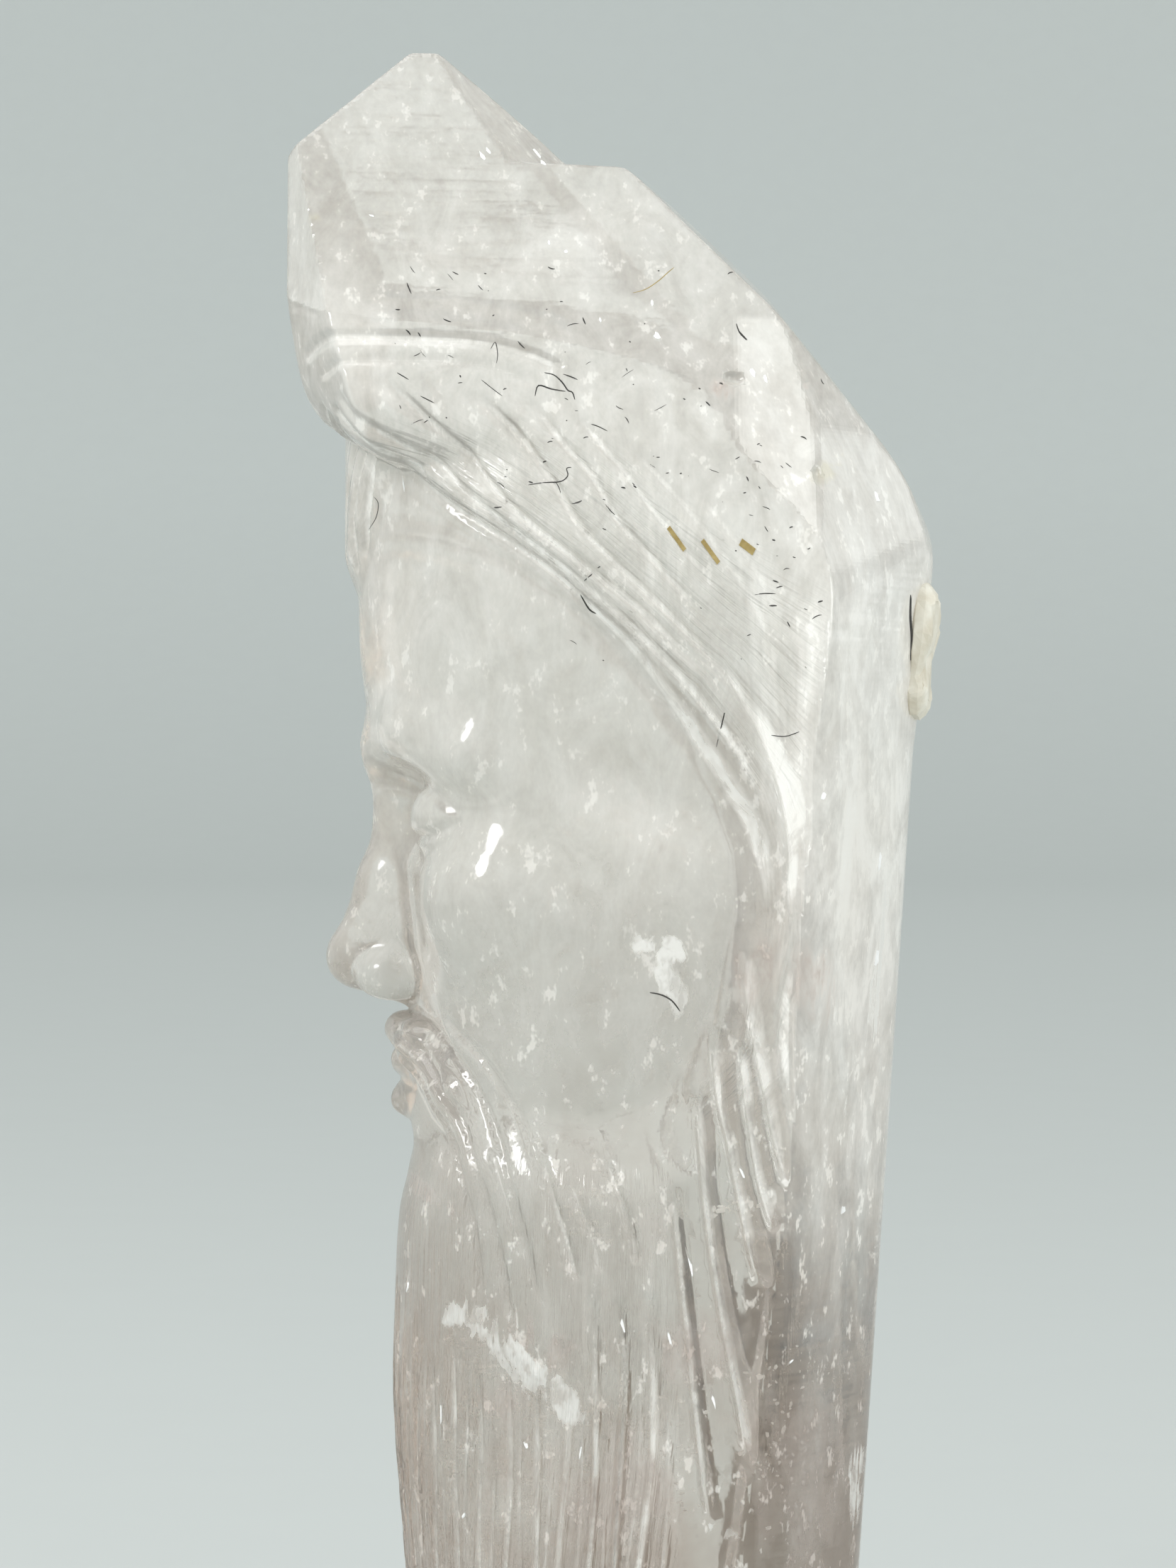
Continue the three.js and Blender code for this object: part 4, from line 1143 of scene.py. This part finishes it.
# Healed cracks inside: the middle (x, height, depth), half length, half width, slope in degrees from level,
# how many chips and their size
VEILS = [
    ((-12.0, 43.0, 1.2), 7.0, 1.7, -44, 120, 0.13),
    ((-1.0, 90.6, 3.5), 6.0, 2.4, -20, 90, 0.16),
    ((-4.2, 57.6, 1.6), 3.2, 2.6, 60, 50, 0.10),
    ((-8.6, 33.4, 1.4), 9.0, 3.6, 70, 170, 0.11),
    ((-15.0, 36.6, 1.2), 6.0, 2.0, 70, 80, 0.10),
    ((1.4, 34.6, 1.6), 6.0, 3.0, 80, 120, 0.11),
    ((13.0, 38.0, 1.4), 9.0, 3.6, 80, 120, 0.11),
    ((9.0, 57.2, 1.0), 3.0, 0.5, 3, 40, 0.12),
    ((17.6, 104.6, 2.0), 2.4, 7.0, 5, 80, 0.2),
    ((18.4, 84.6, 2.0), 1.4, 9.0, 2, 90, 0.2),
]
VEIL_RIM = 0.25  # how ragged a veil's rim is
VEIL_WAVE = {"swing": 0.25, "turn": 1.7}
VEIL_DEPTH = {"tilt": 0.12, "uneven": 0.1}
VEIL_FACING = 0.45  # how far its chips turn away from the camera
VEIL_CHIPS = {"sizes": (0.5, 1.9), "stretch": (1, 2.2), "corners": 6}
VEIL_COLORS = ((0.86, 0.85, 0.81), (0.97, 0.96, 0.93))
# What the lamps would give the veils: their light isn't followed through the stone's skin
VEIL_GLOW = 0.1
WELL_INSIDE = 0.4

# Painted glints: white flakes in the skin that stand for bright glints of light; middle (x, height), length
# and width, slope in degrees
GLINTS = [
    ((-13.2, 146.9), 1.5, 0.20, -66), ((-12.7, 147.4), 1.0, 0.16, -62), ((-8.6, 147.2), 1.5, 0.22, -58),
    ((-8.0, 146.4), 1.1, 0.18, -55), ((-22.8, 142.0), 0.8, 0.12, -25), ((-7.6, 139.6), 0.7, 0.12, -80),
    ((-6.2, 138.9), 0.5, 0.24, 10), ((-3.2, 133.0), 0.9, 0.13, -85), ((1.2, 134.4), 1.3, 0.14, -86),
    ((1.6, 131.6), 1.0, 0.3, -70), ((9.8, 128.4), 1.1, 0.30, -82), ((10.9, 127.9), 1.2, 0.22, -84),
    ((20.3, 118.0), 1.2, 0.4, -80), ((20.3, 78.6), 1.6, 0.35, 80),
    ((15.7, 92.4), 0.7, 0.4, -60), ((20.6, 87.0), 1.8, 0.2, 86), ((-20.0, 118.9), 2.0, 0.12, -80),
    ((8.9, 60.3), 1.2, 0.2, -70), ((13.0, 44.0), 0.9, 0.12, 40), ((-14.8, 31.0), 0.9, 0.14, 60),
    ((-9.6, 37.0), 0.8, 0.16, -70), ((-19.6, 50.6), 1.4, 0.16, 70), ((2.6, 46.4), 2.2, 0.14, -76),
    ((4.4, 52.6), 2.6, 0.14, -80), ((-1.4, 47.6), 2.6, 0.16, -80), ((17.4, 57.0), 1.0, 0.3, 70),
    ((6.4, 41.0), 1.8, 0.13, -78), ((-4.9, 36.6), 2.0, 0.12, 86), ((-16.8, 40.0), 2.4, 0.12, 88),
]
GLINT_DEPTH = 0.02
GLINT_THICKNESS = 0.06
GLINT_COLORS = ((0.97, 0.97, 0.96), (1, 1, 1))

# Golden needles under the hair: middle, length, width and slope
GOLD_DASHES = [
    ((3.3, 114.4), 2.3, 0.50, -58),
    ((6.2, 113.3), 2.3, 0.52, -58),
    ((9.35, 113.7), 1.25, 0.80, -45),
]
DASH_RAISED = 0.09
DASH_THICKNESS = 0.3
DASH_SKEW = 0.35
YELLOW_THREAD = [(-0.5, 135.4), (0.6, 135.7), (1.7, 136.4), (2.6, 137.2), (3.1, 137.6)]
YELLOW_THREAD_SET = {"depth": 0.02, "radius": 0.05}
GOLD_COLORS = ((0.30, 0.21, 0.06), (0.46, 0.35, 0.14))

# Dark threads that stand out, as they are seen from one end to the other
DARK_THREADS = [
    [(-8.0, 128.6), (-7.2, 128.4), (-6.5, 127.8), (-6.0, 127.1), (-5.6, 126.9), (-5.4, 126.3)],
    [(-8.8, 126.6), (-8.5, 127.5), (-7.4, 127.2), (-6.2, 127.0)],
    [(-9.4, 119.0), (-8.0, 119.2), (-6.6, 119.3), (-6.0, 119.8), (-6.1, 120.4), (-5.7, 120.5)],
    [(-4.0, 124.2), (-3.4, 124.0), (-2.6, 123.6)],
    [(-12.6, 130.6), (-12.2, 131.2), (-12.0, 130.2), (-12.1, 129.4)],
    [(-20.6, 128.6), (-19.6, 128.0)],
    [(-18.6, 126.6), (-17.4, 126.0)],
    [(-13.4, 128.0), (-12.4, 127.2), (-11.6, 126.6)],
    [(-22.6, 118.0), (-22.2, 117.4), (-22.4, 116.2), (-23.0, 115.2)],
    [(-4.9, 109.6), (-4.2, 108.4), (-3.6, 108.0)],
    [(-3.9, 111.4), (-4.6, 110.8)],
    [(11.4, 97.6), (12.6, 97.5), (13.8, 97.9)],
    [(6.7, 96.6), (7.4, 99.5), (7.2, 98.6)],
    [(1.0, 75.6), (2.0, 75.4), (2.9, 74.9), (3.6, 74.0)],
    [(8.4, 132.8), (8.7, 132.0), (9.3, 131.4), (8.6, 132.2)],
]
THREAD_RADII = (0.035, 0.07)
# Short threads strewn over the hair: how many are tried, the band they lie in, and their own sizes
STREWN = {
    "count": 130, "x": (-21, 16), "height": 122, "fall": 0.72, "spread": 8.5,
    "top": 138, "foot": 100, "temple": 4, "rise": 1.4,
    "headings": (-1.2, 0.6), "length": (2.0, 0.22), "bend": 0.25, "radii": (0.025, 0.075),
}
DARK_COLORS = ((0.015, 0.015, 0.014), (0.07, 0.065, 0.06))
# Painted shade in open cracks: each is a dark thread for the shadow in the crack's gap, given by its points
# and the radius of each
CRACK_SHADES = [
    ([(23.3, 109.6), (23.25, 107.8), (23.35, 106), (23.3, 104)], 0.15),
]


def spread_on_veil(rng, middle, half_length, half_width, slope, count):
    """Random places on a slanting oval in the picture, thicker towards its middle, with a ragged rim."""
    turn = math.radians(slope)
    reach = np.sqrt(rng.uniform(0, 1, count)) * (1 + VEIL_RIM * rng.normal(size=count))
    angle = rng.uniform(0, 2 * math.pi, count)
    along = half_length * reach * np.cos(angle)
    across = half_width * reach * np.sin(angle)
    across = across + VEIL_WAVE["swing"] * half_width * np.sin(along * VEIL_WAVE["turn"] + middle[0])
    x = middle[0] + along * math.cos(turn) - across * math.sin(turn)
    z = middle[1] + along * math.sin(turn) + across * math.cos(turn)
    uneven = VEIL_DEPTH["uneven"] * rng.normal(size=count)
    depth = middle[2] * (1 + VEIL_DEPTH["tilt"] * across + uneven)
    places = under_surface(x, z, depth)
    places = places[np.isfinite(places).all(axis=1)]
    return places[stone(places) < -WELL_INSIDE]


def build_veils():
    rng = np.random.default_rng(11)
    pile = Pile()
    for middle, half_length, half_width, slope, count, size in VEILS:
        for place in spread_on_veil(rng, middle, half_length, half_width, slope, count):
            facing = np.array([0, -1, 0]) + rng.normal(size=3) * VEIL_FACING
            chip = size * rng.uniform(*VEIL_CHIPS["sizes"])
            stretch = rng.uniform(*VEIL_CHIPS["stretch"])
            pile.flake(place, facing, chip, stretch, VEIL_CHIPS["corners"], rng)
    white = speck_material("veil_white", *VEIL_COLORS, 0.4, transmission=0.15, glow=VEIL_GLOW)
    pile.finish("inner_veils", white)
    # Painted glints: white flakes just under the skin
    bright = Pile()
    for middle, length, width, slope in GLINTS:
        place = under_surface(*middle, GLINT_DEPTH)
        turn = math.radians(slope)
        heading = (math.cos(turn), 0, math.sin(turn))
        facing = np.array([0, -1, 0.2])
        bright.flake(place, facing, width, length / width / 2, 9, rng, heading, GLINT_THICKNESS)
    bright.finish("inner_glints", speck_material("glint_white", *GLINT_COLORS, 0.15))


def build_needles():
    rng = np.random.default_rng(5)
    pile = Pile()
    for (x, z), length, width, slope in GOLD_DASHES:
        turn = math.radians(slope)
        along = np.array([math.cos(turn), math.sin(turn)]) * length / 2
        across = np.array([-math.sin(turn), math.cos(turn)]) * width / 2
        skew = np.array([width * DASH_SKEW, 0])
        corners = [-along - across, along - across + skew, along + across, -along + across - skew]
        near = under_surface([x + c[0] for c in corners], [z + c[1] for c in corners], -DASH_RAISED)
        far = near + np.array([0, DASH_THICKNESS, 0])
        sides = [(k, (k + 1) % 4, 4 + (k + 1) % 4, 4 + k) for k in range(4)]
        pile.put(np.vstack([near, far]), [(3, 2, 1, 0), (4, 5, 6, 7), *sides])
    x, z = spline(YELLOW_THREAD).T
    pile.thread(under_surface(x, z, YELLOW_THREAD_SET["depth"]), YELLOW_THREAD_SET["radius"])
    pile.finish("golden_needles", speck_material("golden_brown", *GOLD_COLORS, 0.45))
    dark = Pile()
    for points in DARK_THREADS:
        x, z = spline(points, 4).T
        dark.thread(under_surface(x, z), rng.uniform(*THREAD_RADII))
    # Painted shade: a dark thread along each open crack, for the shadow in its gap
    for points, radius in CRACK_SHADES:
        x, z = spline(points, 4).T
        dark.thread(under_surface(x, z), radius)
    for _ in range(STREWN["count"]):
        x = rng.uniform(*STREWN["x"])
        z = STREWN["height"] - STREWN["fall"] * x + rng.normal() * STREWN["spread"]
        if z > STREWN["top"] or z < STREWN["foot"] + max(0, -x - STREWN["temple"]) * STREWN["rise"]:
            continue
        heading = rng.uniform(*STREWN["headings"])
        length = rng.gamma(*STREWN["length"])
        steps = np.linspace(-0.5, 0.5, 5)
        bend = rng.normal() * STREWN["bend"]
        path_x = x + length * (steps * math.cos(heading) - bend * steps**2 * math.sin(heading))
        path_z = z + length * (steps * math.sin(heading) + bend * steps**2 * math.cos(heading))
        dark.thread(under_surface(path_x, path_z), rng.uniform(*STREWN["radii"]), 4)
    dark.finish("dark_threads", speck_material("dark_mineral_and_crack_shade", *DARK_COLORS, 0.6))


# Crust on the back edge: outline across the edge and its height, then where it sits
CRUST_OUTLINE = [
    (-2.2, 99.7), (0.2, 99.3), (1.3, 100.8), (1.2, 103.4), (1.9, 106.8), (1.2, 109.5), (-0.6, 110.3),
    (-2.1, 109.3), (-2.9, 106.2), (-2.5, 102.8), (-3, 101),
]
CRUST_REACH = [
    (98.5, 0.75), (101.5, 0.9), (102.6, 0.5), (103.6, 0.75), (106.7, 1.0), (109, 1.0), (110.4, 0.75),
]
CRUST = {"x": 23.6, "y": -1.3, "azimuth": -14, "lean": -3.5, "middle": 105}
# How far each ring round the slab lies inside the outline, and how far out from the stone
CRUST_RINGS = ((0.0, 0.0), (-0.3, 0.35), (-0.3, 1.1), (0.0, 1.6), (0.5, 1.84), (1.2, 1.86))
CRUST_RIM_WEAR = 0.05
CRUST_FACE_WEAR = 0.12
CRUST_COLORS = ((0.72, 0.66, 0.54), (0.88, 0.84, 0.74))


def build_crust():
    """Cream crust, a ragged slab with rounded rims and an uneven outer face."""
    outline = spline([*CRUST_OUTLINE, CRUST_OUTLINE[0]], 4)[:-1]
    centre = outline.mean(axis=0)
    rings = []
    for inward, out in CRUST_RINGS:
        radial = outline - centre
        reach = np.linalg.norm(radial, axis=1, keepdims=True)
        ring = centre + radial * (1 - inward / reach)
        rings.append(np.column_stack([ring, np.full(len(ring), out)]))
    rng = np.random.default_rng(3)
    count = len(outline)
    points = np.vstack(rings)
    points[count:, :2] += rng.normal(size=(len(points) - count, 2)) * CRUST_RIM_WEAR
    points[3 * count:, 2] -= np.abs(rng.normal(size=len(points) - 3 * count)) * CRUST_FACE_WEAR
    across, up, out = points.T
    out = out * profile(CRUST_REACH, up)
    lean, turn = math.radians(CRUST["lean"]), math.radians(CRUST["azimuth"])
    up = up - CRUST["middle"]
    x = out * math.cos(lean) - up * math.sin(lean)
    z = out * math.sin(lean) + up * math.cos(lean)
    placed = np.stack([
        CRUST["x"] + x * math.cos(turn) - across * math.sin(turn),
        CRUST["y"] + x * math.sin(turn) + across * math.cos(turn),
        CRUST["middle"] + z,
    ], axis=1)
    ends = [tuple(range(count))[::-1], tuple(range(len(points) - count, len(points)))]
    pile = Pile()
    pile.put(placed, ends + tube_faces(len(CRUST_RINGS), count))
    pile.finish("crust_flake", speck_material("cream_crust", *CRUST_COLORS, 0.55, scale=500))


# Floor, backdrop, lights and camera. The photograph's pixels, the column where the drawing's x is 0, and the
# height of its lower rim give the place of its middle.
PHOTO_WIDTH = 1659
PHOTO_HEIGHT = 2212
PIXELS_PER_MM = 16.5
ZERO_COLUMN = 900
PHOTO_FOOT = 26.4
PHOTO_MIDDLE = Vector((
    (PHOTO_WIDTH / 2 - ZERO_COLUMN) / PIXELS_PER_MM - BOX_MIDDLE_X,
    0,
    PHOTO_FOOT + PHOTO_HEIGHT / 2 / PIXELS_PER_MM,
)) * MM
CAMERA_DISTANCE = CAMERA_AHEAD * MM
SENSOR = 36.0


def build_camera():
    data = bpy.data.cameras.new("camera")
    data.sensor_fit = "VERTICAL"
    data.sensor_height = SENSOR
    data.lens = SENSOR * CAMERA_DISTANCE / (PHOTO_HEIGHT / PIXELS_PER_MM * MM)
    camera = bpy.data.objects.new("camera", data)
    camera.location = PHOTO_MIDDLE + Vector((0, -CAMERA_DISTANCE, 0))
    camera.rotation_euler = (math.pi / 2, 0, 0)
    bpy.context.scene.collection.objects.link(camera)
    bpy.context.scene.camera = camera


FLOOR_COLOR = (0.57, 0.595, 0.585)
BACKDROP_COLOR = (0.63, 0.66, 0.65)


def ground_material():
    """Matt pale ground, a little lighter up the backdrop."""
    n = Nodes("pale_ground")
    height = n.add("ShaderNodeSeparateXYZ")
    n.link(n.place(), height.inputs["Vector"])
    rise = n.ramp(height.outputs["Z"], (0.0, FLOOR_COLOR), (0.5, BACKDROP_COLOR))
    grain = n.ramp(n.noise(40, detail=3), (0.4, 0.0), (0.6, 0.03))
    n.link(n.mix(grain, rise, (0.5, 0.5, 0.5)), n.shader.inputs["Base Color"])
    n.shader.inputs["Roughness"].default_value = 0.85
    n.shader.inputs["Specular IOR Level"].default_value = 0.2
    return n.material


def build_stage():
    """Pale floor that curves up into a backdrop."""
    half_width = 6.0
    back = 6.0
    front = -3.0
    bend = 2.2
    height = 5.0
    steps = 24
    line = [(front, 0.0)]
    line += [(back - bend + bend * math.sin(a), bend - bend * math.cos(a))
             for a in np.linspace(0, math.pi / 2, steps)]
    line.append((back, height))
    vertices = np.array([(x, y, z) for y, z in line for x in (-half_width, half_width)])
    faces = [(2 * i, 2 * i + 1, 2 * i + 3, 2 * i + 2) for i in range(len(line) - 1)]
    stage = mesh_object("stage", vertices, faces, ground_material())


LIGHTS = [
    # name, place, aim height, size, watts
    ("key", (-0.50, -0.62, 0.62), 0.09, 0.24, 2.25),
    ("right", (0.46, -0.42, 0.16), 0.09, 0.2, 0.5),
    ("top", (-0.15, -0.1, 0.9), 0.1, 0.5, 1.4),
]
WORLD_COLOR = (0.96, 1.0, 0.99, 1)
WORLD_STRENGTH = 0.92


def build_lights():
    for name, place, aim, size, watts in LIGHTS:
        data = bpy.data.lights.new(name, "AREA")
        data.shape = "DISK"
        data.size = size
        data.energy = watts
        lamp = bpy.data.objects.new(name, data)
        lamp.location = place
        lamp.rotation_euler = (Vector((0, 0, aim)) - Vector(place)).to_track_quat("-Z", "Y").to_euler()
        bpy.context.scene.collection.objects.link(lamp)
    world = bpy.data.worlds.new("studio")
    world.use_nodes = True
    background = world.node_tree.nodes["Background"]
    background.inputs["Color"].default_value = WORLD_COLOR
    background.inputs["Strength"].default_value = WORLD_STRENGTH
    bpy.context.scene.world = world
    bpy.context.scene.view_settings.view_transform = "Standard"


build_stone()
build_veils()
build_needles()
build_crust()
build_stage()
build_lights()
build_camera()
